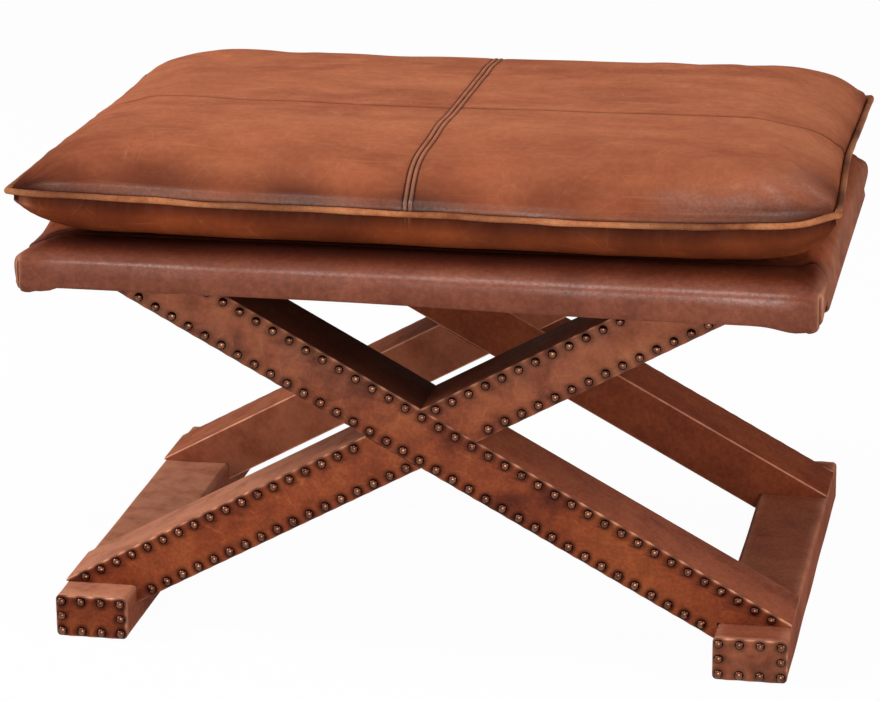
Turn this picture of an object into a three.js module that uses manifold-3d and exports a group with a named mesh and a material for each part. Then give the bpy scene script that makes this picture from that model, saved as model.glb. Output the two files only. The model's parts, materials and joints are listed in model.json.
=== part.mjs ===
// Upholstered footstool: two nailed, leather-covered X frames on runners, a padded seat and a loose
// piped cushion. Millimetres, +Z up, +X along the seat. The origin is on the floor, midway between the
// runners and midway between the X frames.

import * as THREE from 'three';
import { mergeVertices } from 'three/addons/utils/BufferGeometryUtils.js';
import Module from 'manifold-3d';

const wasm = await Module();
wasm.setup();

// Plan of the seat, which the base and the cushion follow
const seatLength = 774;            // over the front and rear bands
const seatDepth = 521.4;

// Base: two runners that carry two X frames
const runnerSetback = 27;          // end of the seat to the outer side of a runner
const runnerReach = 1.8;           // how far a runner stands out past the seat at each end
const runnerWidth = 71.5;
const runnerHeight = 42.5;
const runnerEdgeRadius = 4.5;
const frameSetback = 39;           // runner end to the outer face of the nearer X frame
const legWidth = 52.4;             // across the slope of the leg
const legDepth = 78;               // front to back
const crossingHeight = 212;        // floor to the middle of the crossing
const toeOverhang = 4;             // what is trimmed off a leg's toe, level with the runner's outer side
const baseLeather = 1.6;

// Nails of the base
const nailDiameter = 9.4;
const nailRise = 3.2;
const nailPitch = 18.4;
const nailInset = 6.6;             // middle of a row from the edge of its face
const nailSink = 0.5;
const capNailInset = 6;
const capNailColumns = 4;

// Fastenings inside the base
const dowelDiameter = 10;
const dowelLength = 40;
const dowelShoulder = 21;          // runner's inner side to the middle of the dowel
const dowelReach = 18;             // how far a dowel stands into the leg
const lapScrewLength = 62;
const seatScrewBite = 30;          // length of a seat screw inside the leg
const screwDiameter = 5;
const screwHeadDiameter = 10;
const screwHeadDepth = 3;
const screwPointLength = 6;

// Seat: a boarded wooden frame under foam and leather
const seatUnderside = 355.5;       // floor to the underside of the seat
const seatThickness = 42.5;        // in the middle
const centrePanelProud = 4.5;      // how far the centre panel stands out past the bands at each end
const endRollRise = 10;            // padded roll at each end, above the middle
const endRailDrop = 4.3;           // end rails hang lower than the middle
const seatCornerRadius = 20;
const edgeReach = 95;              // from the side of the seat to where its top is level
const seamSetback = 56;            // front or rear side to the seam beside it
const rollFade = 40;               // length over which an end roll fades out towards a corner
const seatLeather = 1.4;
const foldWidth = 38;              // leather turned under the seat
const sidePad = 4;                 // foam over the outer sides of the rails
const railThickness = 20;
const longRailWidth = 102;
const endRailWidth = 36;
const braceWidth = 60;
const deckThickness = 9;
const deckInset = 29;
const deckCover = 3;               // least foam over the edge of the deck

// Cushion: loose, with a piped seam all round
const cushionOverhang = 11.5;      // end of the seat to the outer side of the piping
const cushionSetback = 16.2;       // front of the seat to the outer side of the piping, at a corner
const cushionThickness = 92.5;     // top of the seat to the crown
const cushionSeamRise = 40.5;      // top of the seat to the piping, at the middle of a long side
const cushionEndLift = 12.5;       // how much higher the piping runs at the ends
const longSideDrawIn = 9;          // how far a long side pulls in between its corners
const shortSideDrawIn = 11;
const cushionShift = -3;           // the cushion lies a little to the left
const cushionLeather = 1.4;
const pipingDiameter = 6.4;
const pipingCornerRadius = 9;
const longSeamWidth = 13;          // front-to-back seam with its two rows of stitching
const longSeamDepth = 2.4;
const crossSeamWidth = 8;
const crossSeamDepth = 1.6;

// Clearances and overruns
const gap = 0.3;                   // between pieces that lie on each other
const overrun = 5;                 // how far a cutter passes through

// Counts
const nailSides = 6;
const arcSteps = 3;
const hiddenArcSteps = 1;
const ringCornerSteps = 3;
const pinSides = 10;
const pipingSides = 6;
const pipingCornerSteps = 3;

// Places that follow from the sizes above
const baseLength = seatLength - 2 * runnerSetback;
const runnerLength = seatDepth + 2 * runnerReach;
const halfBase = baseLength / 2;
const runnerInner = halfBase - runnerWidth;
const runnerMiddle = halfBase - runnerWidth / 2;
const halfRunner = runnerLength / 2;
const frameFace = -halfRunner + frameSetback;
const frameBack = frameFace + legDepth;
const frameMiddle = (frameFace + frameBack) / 2;
const coreFace = frameFace + baseLeather + gap;
const coreBack = frameBack - baseLeather - gap;
const lapPlane = (coreFace + coreBack) / 2;
const halfLeg = legWidth / 2;
const halfCore = halfLeg - baseLeather - gap;
const toeReach = halfBase + toeOverhang;
const crossingRise = crossingHeight - runnerHeight;
const legAngle = Math.atan2(crossingRise, toeReach) + Math.asin(halfLeg / Math.hypot(toeReach, crossingRise));
const legTop = seatUnderside - gap;
const dowelFoot = runnerHeight + dowelReach - dowelLength;
const stripLength = 2 * Math.hypot(baseLength, seatUnderside);
const halfSeat = seatLength / 2;
const halfSeatDepth = seatDepth / 2;
const seatTop = seatUnderside + seatThickness;
const cushionTop = seatTop + cushionThickness;
const cushionSeamHeight = seatTop + cushionSeamRise;
const seamPlane = halfSeatDepth - seamSetback;
const halfCentre = halfSeat + centrePanelProud;
const seatLining = seatLeather + gap;
const woodHalfLength = halfSeat - seatLining - sidePad;
const woodHalfDepth = halfSeatDepth - seatLining - sidePad;
const railTop = seatUnderside + seatLining + railThickness;
const deckTop = railTop + gap + deckThickness;
const seatScrewLength = railTop - legTop + seatScrewBite;
const seatScrewX = (crossingHeight - legTop) / Math.tan(legAngle) + halfCore / Math.sin(legAngle) / 2;

// Materials
const finish = (color, roughness, metalness = 0) =>
  new THREE.MeshStandardMaterial({ color, roughness, metalness });
const baseHide = finish(0x8c4b37, 0.5);
const seatHide = finish(0x8a4c38, 0.45);
const cushionHide = finish(0xa4603f, 0.42);
const pipingHide = finish(0xc27a4c, 0.5);
const nailedHide = finish(0x7b4030, 0.45, 0.1);
const timber = finish(0xb8925f, 0.8);
const plywood = finish(0xc9a673, 0.85);
const foam = finish(0xe6dcc0, 1);
const blackCloth = finish(0x262422, 1);
const steel = finish(0x8f9194, 0.35, 1);

const footstool = new THREE.Group();
footstool.name = 'footstool';

// Solid helpers

function solidOf(geometry) {
  geometry.deleteAttribute('normal');
  geometry.deleteAttribute('uv');
  const merged = mergeVertices(geometry);
  const vertProperties = new Float32Array(merged.attributes.position.array);
  const triVerts = new Uint32Array(merged.index.array);
  return new wasm.Manifold(new wasm.Mesh({ numProp: 3, vertProperties, triVerts }));
}

function addPiece(name, solid, material, group = footstool) {
  const { vertProperties, triVerts, numProp } = solid.getMesh();
  const geometry = new THREE.BufferGeometry();
  geometry.setAttribute('position', new THREE.BufferAttribute(vertProperties, numProp));
  geometry.setIndex(new THREE.BufferAttribute(triVerts, 1));
  geometry.computeVertexNormals();
  const mesh = new THREE.Mesh(geometry, material);
  mesh.name = name;
  group.add(mesh);
}

function block([x0, x1], [y0, y1], [z0, z1]) {
  const geometry = new THREE.BoxGeometry(x1 - x0, y1 - y0, z1 - z0);
  return solidOf(geometry.translate((x0 + x1) / 2, (y0 + y1) / 2, (z0 + z1) / 2));
}

const bothWays = (half) => [-half, half];

function uprightPin(radius, x, y, [low, high]) {
  const geometry = new THREE.CylinderGeometry(radius, radius, high - low, pinSides).rotateX(Math.PI / 2);
  return solidOf(geometry.translate(x, y, (low + high) / 2));
}

// A countersunk screw with its head at the origin and its point down the -Z axis
function screw(length, clearance = 0) {
  const shank = screwDiameter / 2 + clearance;
  const head = screwHeadDiameter / 2 + clearance;
  const profile = [
    new THREE.Vector2(0, -length - clearance),
    new THREE.Vector2(shank, -length - clearance + screwPointLength),
    new THREE.Vector2(shank, -screwHeadDepth - clearance),
    new THREE.Vector2(head, 0),
    new THREE.Vector2(0, 0),
  ];
  return solidOf(new THREE.LatheGeometry(profile, pinSides).rotateX(Math.PI / 2));
}

// Extrudes a shape drawn in X and Z along Y
function extrudeAcross(shape, [low, high], curveSegments = arcSteps) {
  const options = { depth: high - low, bevelEnabled: false, curveSegments };
  return solidOf(new THREE.ExtrudeGeometry(shape, options).rotateX(Math.PI / 2).translate(0, high, 0));
}

function roundedRectangle(width, height, radius) {
  const [x, y] = [width / 2 - radius, height / 2 - radius];
  const shape = new THREE.Shape();
  shape.absarc(x, y, radius, 0, Math.PI / 2);
  shape.absarc(-x, y, radius, Math.PI / 2, Math.PI);
  shape.absarc(-x, -y, radius, Math.PI, 3 * Math.PI / 2);
  shape.absarc(x, -y, radius, 3 * Math.PI / 2, 2 * Math.PI);
  return shape;
}

// Joins rings of points into one closed body with a fan over the first and the last ring
function loft(rings) {
  const count = rings[0].length;
  const points = rings.flat();
  const faces = [];
  for (let k = 0; k + 1 < rings.length; k++) {
    for (let i = 0; i < count; i++) {
      const [a, b] = [k * count + i, k * count + (i + 1) % count];
      faces.push(a, b, b + count, a, b + count, a + count);
    }
  }
  const middle = (ring) => ring.reduce((sum, p) => sum.add(p), new THREE.Vector3()).divideScalar(count);
  const last = (rings.length - 1) * count;
  points.push(middle(rings[0]), middle(rings[rings.length - 1]));
  for (let i = 0; i < count; i++) {
    const next = (i + 1) % count;
    faces.push(points.length - 2, next, i, points.length - 1, last + i, last + next);
  }
  return solidOf(new THREE.BufferGeometry().setFromPoints(points).setIndex(faces));
}

// A closed sheet between an upper and a lower surface over the same grid of shares
function gridSheet(upper, lower, across, along) {
  const points = [];
  const at = (layer, i, j) => (layer * across.length + i) * along.length + j;
  for (const surface of [upper, lower]) {
    for (const s of across) {
      for (const t of along) points.push(surface(s, t));
    }
  }
  const faces = [];
  const quad = (a, b, c, d) => faces.push(a, b, c, a, c, d);
  for (let i = 0; i + 1 < across.length; i++) {
    for (let j = 0; j + 1 < along.length; j++) {
      quad(at(0, i, j), at(0, i + 1, j), at(0, i + 1, j + 1), at(0, i, j + 1));
      quad(at(1, i, j), at(1, i, j + 1), at(1, i + 1, j + 1), at(1, i + 1, j));
    }
  }
  const [lastI, lastJ] = [across.length - 1, along.length - 1];
  for (let i = 0; i < lastI; i++) {
    quad(at(1, i, 0), at(1, i + 1, 0), at(0, i + 1, 0), at(0, i, 0));
    quad(at(1, i + 1, lastJ), at(1, i, lastJ), at(0, i, lastJ), at(0, i + 1, lastJ));
  }
  for (let j = 0; j < lastJ; j++) {
    quad(at(1, 0, j + 1), at(1, 0, j), at(0, 0, j), at(0, 0, j + 1));
    quad(at(1, lastI, j), at(1, lastI, j + 1), at(0, lastI, j + 1), at(0, lastI, j));
  }
  return solidOf(new THREE.BufferGeometry().setFromPoints(points).setIndex(faces));
}

// A nail head on a face that looks towards -Y
function nailHead(x, face, z) {
  const height = nailRise + nailSink;
  const geometry = new THREE.ConeGeometry(nailDiameter / 2, height, nailSides).rotateX(Math.PI);
  return solidOf(geometry.translate(x, face + nailSink - height / 2, z));
}

// Runners

function addRunner(side, name) {
  const group = new THREE.Group();
  group.position.x = side * runnerMiddle;
  footstool.add(group);
  const sleeveEnd = halfRunner - baseLeather - gap;
  const outer = roundedRectangle(runnerWidth, runnerHeight, runnerEdgeRadius);
  const shrunk = (inset) => roundedRectangle(
    runnerWidth - 2 * inset, runnerHeight - 2 * inset, Math.max(runnerEdgeRadius - inset, gap));
  const sleeve = outer.clone();
  sleeve.holes.push(shrunk(baseLeather));
  const raise = (solid) => solid.translate([0, 0, runnerHeight / 2]);
  const dowelX = -side * (runnerWidth / 2 - dowelShoulder);
  let core = raise(extrudeAcross(shrunk(baseLeather + gap), bothWays(sleeveEnd), hiddenArcSteps));
  let wrap = raise(extrudeAcross(sleeve, bothWays(sleeveEnd)));
  for (const y of [frameMiddle, -frameMiddle]) {
    const bore = uprightPin(dowelDiameter / 2 + gap, dowelX, y, [dowelFoot - gap, runnerHeight + overrun]);
    core = core.subtract(bore);
    wrap = wrap.subtract(bore);
  }
  addPiece(`${name}_runner_core`, core, timber, group);
  addPiece(`${name}_runner_wrap`, wrap, baseHide, group);

  let cap = raise(extrudeAcross(outer, [-halfRunner, -halfRunner + baseLeather]));
  const capX = runnerWidth / 2 - capNailInset;
  const capZ = runnerHeight / 2 - capNailInset;
  for (let column = 0; column < capNailColumns; column++) {
    const x = capX * (2 * column / (capNailColumns - 1) - 1);
    const atSide = column === 0 || column === capNailColumns - 1;
    for (const z of atSide ? [-capZ, 0, capZ] : [-capZ, capZ]) {
      cap = cap.add(nailHead(x, -halfRunner, runnerHeight / 2 + z));
    }
  }
  for (const [end, turn] of [['front', 0], ['rear', Math.PI]]) {
    const capGroup = new THREE.Group();
    capGroup.rotation.z = turn;
    group.add(capGroup);
    addPiece(`${name}_runner_${end}_cap`, cap, nailedHide, capGroup);
  }
}

addRunner(-1, 'left');
addRunner(1, 'right');

// X frames: the through leg shows whole on the outer face, the lapped leg passes behind it.
// A fall of 1 runs down towards +X.

const legStrip = (halfWidth, [y0, y1], fall) => {
  const geometry = new THREE.BoxGeometry(stripLength, y1 - y0, 2 * halfWidth).rotateY(fall * legAngle);
  return solidOf(geometry.translate(0, (y0 + y1) / 2, crossingHeight));
};

// The room between the runners, the floor and the seat, in which a leg is trimmed
function legBay(inset) {
  let bay = block(bothWays(halfBase - inset), bothWays(halfRunner), [0, legTop]);
  for (const side of [-1, 1]) {
    const ends = [side * (runnerInner - gap), side * (halfBase + overrun)].sort((a, b) => a - b);
    bay = bay.subtract(block(ends, bothWays(halfRunner + overrun), [-overrun, runnerHeight + gap]));
  }
  return bay;
}

const outerBay = legBay(0);
const coreBay = legBay(baseLeather + gap);

// Rows of nails along both edges of a leg's face, where the leg is free and isFree allows one
function nailRows(panel, fall, isFree) {
  const steps = Math.ceil(stripLength / 2 / nailPitch);
  const [c, s] = [Math.cos(legAngle), Math.sin(legAngle)];
  const radius = nailDiameter / 2;
  for (const edge of [-1, 1]) {
    const across = edge * (halfLeg - nailInset);
    for (let k = -steps; k <= steps; k++) {
      const along = (2 * k + 1) * nailPitch / 2;
      const x = fall * (along * c + across * s);
      const z = crossingHeight - along * s + across * c;
      const overRunner = Math.abs(x) + radius > runnerInner;
      const clearBelow = z - radius > (overRunner ? runnerHeight : 0);
      const onLeg = clearBelow && z + radius < legTop && Math.abs(x) + radius < halfBase;
      if (onLeg && isFree(x, z)) panel = panel.add(nailHead(x, frameFace, z));
    }
  }
  return panel;
}

function addXFrame(name, turn) {
  const group = new THREE.Group();
  group.rotation.z = turn;
  footstool.add(group);
  const lining = halfLeg - baseLeather;
  const lapCut = {
    through: legStrip(halfLeg + gap, [lapPlane - gap / 2, frameBack + overrun], -1),
    lapped: legStrip(halfLeg + gap, [frameFace - overrun, lapPlane + gap / 2], 1),
  };
  const lapScrewAt = (clearance) => screw(lapScrewLength, clearance).rotate([-90, 0, 0])
    .translate([0, coreBack, crossingHeight]);
  for (const [leg, fall] of [['through', 1], ['lapped', -1]]) {
    const pin = [fall * (runnerInner + dowelShoulder), frameMiddle];
    const dowelSpan = [dowelFoot, dowelFoot + dowelLength];
    const dowelBore = uprightPin(dowelDiameter / 2 + gap, ...pin, [-overrun, dowelSpan[1] + gap]);
    const screwPlace = [fall * seatScrewX, frameMiddle, railTop];
    const core = legStrip(halfCore, [coreFace, coreBack], fall).intersect(coreBay)
      .subtract(lapCut[leg])
      .subtract(dowelBore)
      .subtract(screw(seatScrewLength, gap).translate(screwPlace))
      .subtract(lapScrewAt(gap));
    const wrap = legStrip(halfLeg, [coreFace, frameBack], fall).intersect(outerBay)
      .subtract(legStrip(lining, [coreFace - overrun, frameBack - baseLeather], fall))
      .subtract(lapCut[leg]);
    addPiece(`${name}_${leg}_leg_core`, core, timber, group);
    addPiece(`${name}_${leg}_leg_wrap`, wrap, baseHide, group);
    addPiece(`${name}_${leg}_leg_dowel`, uprightPin(dowelDiameter / 2, ...pin, dowelSpan), timber, group);
    addPiece(`${name}_${leg}_leg_screw`, screw(seatScrewLength).translate(screwPlace), steel, group);
  }
  addPiece(`${name}_lap_screw`, lapScrewAt(0), steel, group);

  const faceSpan = [frameFace, frameFace + baseLeather];
  const throughFace = legStrip(halfLeg, faceSpan, 1).intersect(outerBay);
  addPiece(`${name}_through_leg_face`, nailRows(throughFace, 1, () => true), nailedHide, group);

  const throughCut = legStrip(halfLeg + gap, [frameFace - overrun, coreFace], 1);
  const lappedFace = legStrip(halfLeg, faceSpan, -1).intersect(outerBay).subtract(throughCut);
  const offThrough = (x, z) => {
    const across = Math.abs(x * Math.sin(legAngle) + (z - crossingHeight) * Math.cos(legAngle));
    return across > halfLeg + gap + nailDiameter / 2;
  };
  const halves = { upper: [crossingHeight, seatTop], lower: [0, crossingHeight] };
  for (const [half, span] of Object.entries(halves)) {
    const face = lappedFace.intersect(block(bothWays(baseLength), bothWays(runnerLength), span));
    const onHalf = (x, z) => z > span[0] && z < span[1] && offThrough(x, z);
    addPiece(`${name}_lapped_leg_${half}_face`, nailRows(face, -1, onHalf), nailedHide, group);
  }
}

addXFrame('front', 0);
addXFrame('rear', Math.PI);

// Seat. Each edge is a line of shares, from the level underside out round the side and in over the
// top: how far in from the side, as a share of edgeReach, and how high, as a share of the thickness.

const longEdgeShares = [
  [0.63, 0], [0.32, 0], [0.2, 0], [0.065, 0], [0.016, 0.05], [0, 0.18],
  [0.003, 0.43], [0.026, 0.6], [0.085, 0.7], [0.22, 0.81], [0.5, 0.96], [1, 1],
];
// At the ends the height runs from the hanging rail to the top of the padded roll
const endEdgeShares = [
  [0.63, 0.076], [0.32, 0.076], [0.27, 0], [0.11, 0], [0.045, 0.09], [0.012, 0.25],
  [0, 0.44], [0.016, 0.61], [0.063, 0.76], [0.17, 0.92], [0.37, 1], [1, 0.824],
];
const firstUpperPoint = 6;
const tightCornerShare = 0.2;

function edgeLine(shares, base, rise, inset) {
  const line = shares.map(([inward, up]) => new THREE.Vector2(inward * edgeReach, base + up * rise));
  return line.map((point, k) => {
    const before = line[Math.max(k - 1, 0)];
    const after = line[Math.min(k + 1, line.length - 1)];
    const along = after.clone().sub(before).normalize();
    return new THREE.Vector2(point.x + along.y * inset, point.y - along.x * inset);
  });
}

// The seat's whole outer form, drawn in by inset all over
function seatForm(inset, halfLength) {
  const endRise = seatThickness + endRailDrop + endRollRise;
  const longLine = edgeLine(longEdgeShares, seatUnderside, seatThickness, inset);
  const endLine = edgeLine(endEdgeShares, seatUnderside - endRailDrop, endRise, inset);
  const rings = longLine.map((long, k) => {
    const end = endLine[k];
    const radius = Math.max(seatCornerRadius - Math.max(long.x, end.x), seatCornerRadius * tightCornerShare);
    const [cx, cy] = [halfLength - end.x - radius, halfSeatDepth - long.x - radius];
    const ring = [];
    // The roll at the end fades out towards the corners, the hanging rail runs on into them
    for (const [quarter, [sx, sy]] of [[1, 1], [-1, 1], [-1, -1], [1, -1]].entries()) {
      const rollEnd = new THREE.Vector3(sx * (cx + radius), sy * (cy - rollFade), end.y);
      if (quarter % 2 === 0) ring.push(rollEnd);
      for (let step = 0; step <= ringCornerSteps; step++) {
        const angle = (quarter + step / ringCornerSteps) * Math.PI / 2;
        const [c, s] = [Math.cos(angle), Math.sin(angle)];
        const z = k < firstUpperPoint ? THREE.MathUtils.lerp(end.y, long.y, s * s) : long.y;
        ring.push(new THREE.Vector3(sx * cx + radius * c, sy * cy + radius * s, z));
      }
      if (quarter % 2 === 1) ring.push(rollEnd);
    }
    return ring;
  });
  return loft(rings);
}

function addSeat() {
  const screwRoom = [];
  for (const turn of [0, 180]) {
    for (const fall of [-1, 1]) {
      const place = [fall * seatScrewX, frameMiddle, railTop];
      screwRoom.push(screw(seatScrewLength, gap).translate(place).rotate([0, 0, turn]));
    }
  }
  const drilled = (solid) => screwRoom.reduce((rest, room) => rest.subtract(room), solid);

  const wide = seatLength;
  const opening = (clearance) => [
    bothWays(halfSeat - foldWidth - clearance), bothWays(halfSeatDepth - foldWidth - clearance)];
  const mouth = block(...opening(0), [seatUnderside - overrun, seatUnderside + seatLining]);
  const cover = (halfLength) => seatForm(0, halfLength)
    .subtract(seatForm(seatLeather, halfLength))
    .subtract(mouth);
  const bands = cover(halfSeat);
  const bandSpan = [seamPlane + gap / 2, halfSeatDepth + overrun];
  const fullHeight = [0, cushionTop];
  const centre = cover(halfCentre)
    .intersect(block(bothWays(wide), bothWays(seamPlane - gap / 2), fullHeight));
  const frontSpan = [-bandSpan[1], -bandSpan[0]];
  const frontBand = bands.intersect(block(bothWays(wide), frontSpan, fullHeight));
  const rearBand = bands.intersect(block(bothWays(wide), bandSpan, fullHeight));
  addPiece('seat_centre_panel', drilled(centre), seatHide);
  addPiece('seat_front_band', drilled(frontBand), seatHide);
  addPiece('seat_rear_band', drilled(rearBand), seatHide);

  const innerForm = seatForm(seatLining, halfSeat);
  const centreForm = seatForm(seatLining, halfCentre);
  const sharedForm = innerForm.intersect(centreForm);
  const deckShape = [bothWays(halfSeat - deckInset), bothWays(halfSeatDepth - deckInset)];
  const deck = block(...deckShape, [railTop + gap, deckTop])
    .intersect(seatForm(seatLining + deckCover, halfSeat));
  const deckRoom = block(
    bothWays(halfSeat - deckInset + gap), bothWays(halfSeatDepth - deckInset + gap), [0, deckTop + gap]);
  const railRoom = block(bothWays(woodHalfLength + gap), bothWays(woodHalfDepth + gap), [0, railTop + gap]);
  const pad = sharedForm
    .add(centreForm.intersect(block(bothWays(wide), bothWays(seamPlane - gap), fullHeight)))
    .add(innerForm.subtract(block(bothWays(wide), bothWays(seamPlane + gap), fullHeight)))
    .subtract(deckRoom)
    .subtract(railRoom);
  addPiece('seat_pad', drilled(pad), foam);
  addPiece('seat_deck', deck, plywood);

  const railHeight = [0, railTop];
  const endInner = woodHalfLength - endRailWidth;
  const longInner = woodHalfDepth - longRailWidth;
  const rails = {
    seat_left_rail: [[-woodHalfLength, -endInner], bothWays(woodHalfDepth)],
    seat_right_rail: [[endInner, woodHalfLength], bothWays(woodHalfDepth)],
    seat_front_rail: [bothWays(endInner - gap), [-woodHalfDepth, -longInner]],
    seat_rear_rail: [bothWays(endInner - gap), [longInner, woodHalfDepth]],
    seat_brace: [bothWays(braceWidth / 2), bothWays(longInner - gap)],
  };
  for (const [name, [xs, ys]] of Object.entries(rails)) {
    addPiece(name, drilled(block(xs, ys, railHeight).intersect(sharedForm)), timber);
  }
  const sheet = block(...opening(gap), [seatUnderside, seatUnderside + seatLeather]);
  addPiece('seat_dust_cover', drilled(sheet), blackCloth);
}

addSeat();

// Cushion. Its surfaces run over shares of the half length and the half depth; the seam is at 1.

// How long the crown and the underside stay flat towards each side; the front shoulder is the softest
const crownFlatness = { length: 11, front: 5.5, rear: 22, edge: 0.68 };
const baseFlatness = { length: 7, front: 28, rear: 28, edge: 0.38 };
const endLiftPower = 4;
const cornerSharpness = 24;
const lengthShares = [0.42, 0.74, 0.89, 0.97, 1];
const depthShares = [0.5, 0.82, 0.95, 1];
const gridLines = (halfSeam, shares) => {
  const positive = [halfSeam, ...shares];
  return [...positive.map((share) => -share).reverse(), 0, ...positive];
};

const halfCover = halfSeat + cushionOverhang - pipingDiameter - gap;
const halfCoverDepth = halfSeatDepth - cushionSetback - pipingDiameter - gap;
const cushionRest = seatTop + gap;

const swell = (s, t, { length, front, rear, edge }) =>
  ((1 - Math.abs(s) ** length) * (1 - Math.abs(t) ** (t < 0 ? front : rear))) ** edge;
const seamHeight = (s) => cushionSeamHeight + cushionEndLift * s ** endLiftPower;
const pulledIn = (drawIn, along) => drawIn * (1 - along * along);
const cornerEase = (s, t) =>
  pipingCornerRadius * (1 - Math.SQRT1_2) * Math.abs(s * t) ** cornerSharpness;

function groove(distance, width, depth) {
  const share = Math.min(Math.abs(distance) / width * 2, 1);
  return depth * (1 - share * share) ** 2;
}

// A point of a cushion surface that is drawn in by inset and stays lift clear of the seam's height
function cushionPoint(s, t, inset, lift, isTop) {
  const x = s * (halfCover - inset - pulledIn(shortSideDrawIn, t) - cornerEase(s, t));
  const y = t * (halfCoverDepth - inset - pulledIn(longSideDrawIn, s) - cornerEase(s, t));
  const seam = seamHeight(s);
  const crown = cushionTop - inset - groove(x, longSeamWidth, longSeamDepth)
    - groove(y, crossSeamWidth, crossSeamDepth);
  const floor = cushionRest + inset;
  const z = isTop
    ? seam + lift + (crown - seam - lift) * swell(s, t, crownFlatness)
    : seam - lift - (seam - lift - floor) * swell(s, t, baseFlatness);
  return new THREE.Vector3(x, y, z);
}

function addCushion() {
  const cushion = new THREE.Group();
  cushion.position.x = cushionShift;
  footstool.add(cushion);
  const across = gridLines(longSeamWidth / 2 / halfCover, lengthShares);
  const along = gridLines(crossSeamWidth / 2 / halfCoverDepth, depthShares);
  const inner = cushionLeather;
  const top = gridSheet(
    (s, t) => cushionPoint(s, t, 0, gap, true),
    (s, t) => cushionPoint(s, t, inner, gap, true), across, along);
  const bottom = gridSheet(
    (s, t) => cushionPoint(s, t, inner, gap, false),
    (s, t) => cushionPoint(s, t, 0, gap, false), across, along);
  const fill = gridSheet(
    (s, t) => cushionPoint(s, t, inner + gap, gap / 2, true),
    (s, t) => cushionPoint(s, t, inner + gap, gap / 2, false), across, along);
  addPiece('cushion_top_cover', top, cushionHide, cushion);
  addPiece('cushion_bottom_cover', bottom, cushionHide, cushion);
  addPiece('cushion_fill', fill, foam, cushion);
  addPiece('cushion_piping', piping(across, along), pipingHide, cushion);
}

// The piping runs once round the seam and its two ends meet at the middle of the back. Its stations
// lie on the covers' grid lines, so that it stays parallel to them.
function piping(across, along) {
  const radius = pipingDiameter / 2;
  const offset = gap + radius;
  const bend = pipingCornerRadius;
  const [reachX, reachY] = [halfCover + offset - bend, halfCoverDepth + offset - bend];
  const route = [];
  const station = (x, y) => {
    const s = THREE.MathUtils.clamp(x / halfCover, -1, 1);
    route.push(new THREE.Vector3(x, y, seamHeight(s)));
  };
  const places = (lines, half, reach) => {
    const between = lines.map((share) => share * half).filter((place) => Math.abs(place) < reach);
    return [-reach, ...between, reach];
  };
  const longSide = (side, xs) => {
    for (const x of xs) {
      station(x, side * (halfCoverDepth + offset - pulledIn(longSideDrawIn, x / halfCover)));
    }
  };
  const shortSide = (side, ys) => {
    for (const y of ys) {
      station(side * (halfCover + offset - pulledIn(shortSideDrawIn, y / halfCoverDepth)), y);
    }
  };
  const corner = (sx, sy, from) => {
    for (let k = 1; k < pipingCornerSteps; k++) {
      const angle = from - k / pipingCornerSteps * Math.PI / 2;
      station(sx * reachX + bend * Math.cos(angle), sy * reachY + bend * Math.sin(angle));
    }
  };
  const xs = places(across, halfCover, reachX);
  const ys = places(along, halfCoverDepth, reachY);
  longSide(1, [gap, ...xs.filter((x) => x > gap)]);
  corner(1, 1, Math.PI / 2);
  shortSide(1, ys.toReversed());
  corner(1, -1, 0);
  longSide(-1, xs.toReversed());
  corner(-1, -1, -Math.PI / 2);
  shortSide(-1, ys);
  corner(-1, 1, Math.PI);
  longSide(1, [...xs.filter((x) => x < -gap), -gap]);
  const up = new THREE.Vector3(0, 0, 1);
  const rings = route.map((point, k) => {
    const ahead = route[Math.min(k + 1, route.length - 1)].clone();
    const direction = ahead.sub(route[Math.max(k - 1, 0)]).normalize();
    const side = direction.clone().cross(up).normalize();
    const lift = direction.clone().cross(side);
    return Array.from({ length: pipingSides }, (_, i) => {
      const angle = 2 * Math.PI * i / pipingSides;
      return point.clone()
        .addScaledVector(side, radius * Math.cos(angle))
        .addScaledVector(lift, radius * Math.sin(angle));
    });
  });
  return loft(rings);
}

addCushion();

export default footstool;
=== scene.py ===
import json
import math

import bmesh
import bpy
import numpy as np
from mathutils import Matrix, Vector
from mathutils.bvhtree import BVHTree


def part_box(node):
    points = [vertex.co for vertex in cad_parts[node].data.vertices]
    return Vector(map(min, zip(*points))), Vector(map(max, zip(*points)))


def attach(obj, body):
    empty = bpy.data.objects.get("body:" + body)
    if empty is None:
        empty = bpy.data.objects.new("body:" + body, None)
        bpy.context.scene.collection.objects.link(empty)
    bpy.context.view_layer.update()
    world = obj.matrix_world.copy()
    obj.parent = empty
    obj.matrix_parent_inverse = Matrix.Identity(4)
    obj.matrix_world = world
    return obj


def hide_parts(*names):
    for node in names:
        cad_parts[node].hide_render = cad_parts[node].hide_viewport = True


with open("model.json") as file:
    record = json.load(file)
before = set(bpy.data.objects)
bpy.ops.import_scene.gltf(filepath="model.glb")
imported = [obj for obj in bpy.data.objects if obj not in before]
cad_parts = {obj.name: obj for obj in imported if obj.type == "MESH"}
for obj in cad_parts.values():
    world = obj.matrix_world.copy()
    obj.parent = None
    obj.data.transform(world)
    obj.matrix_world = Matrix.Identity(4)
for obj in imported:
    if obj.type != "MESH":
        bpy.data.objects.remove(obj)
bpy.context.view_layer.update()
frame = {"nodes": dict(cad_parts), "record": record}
scene = bpy.context.scene
scene.view_settings.view_transform = "Standard"


def addObject(name, data):
    obj = bpy.data.objects.new(name, data)
    scene.collection.objects.link(obj)
    return obj


# Camera, at the photograph's place and angle
camera = {
    "place": (0.6545, -3.4364, 1.3375),
    "yaw": math.radians(11.178),      # turned left of straight ahead
    "pitch": math.radians(17.541),    # looking down
    "roll": math.radians(-0.477),
    "lens": 147.7,
    "sensor": 36.0,
    "farthest": 50.0,
}


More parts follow.
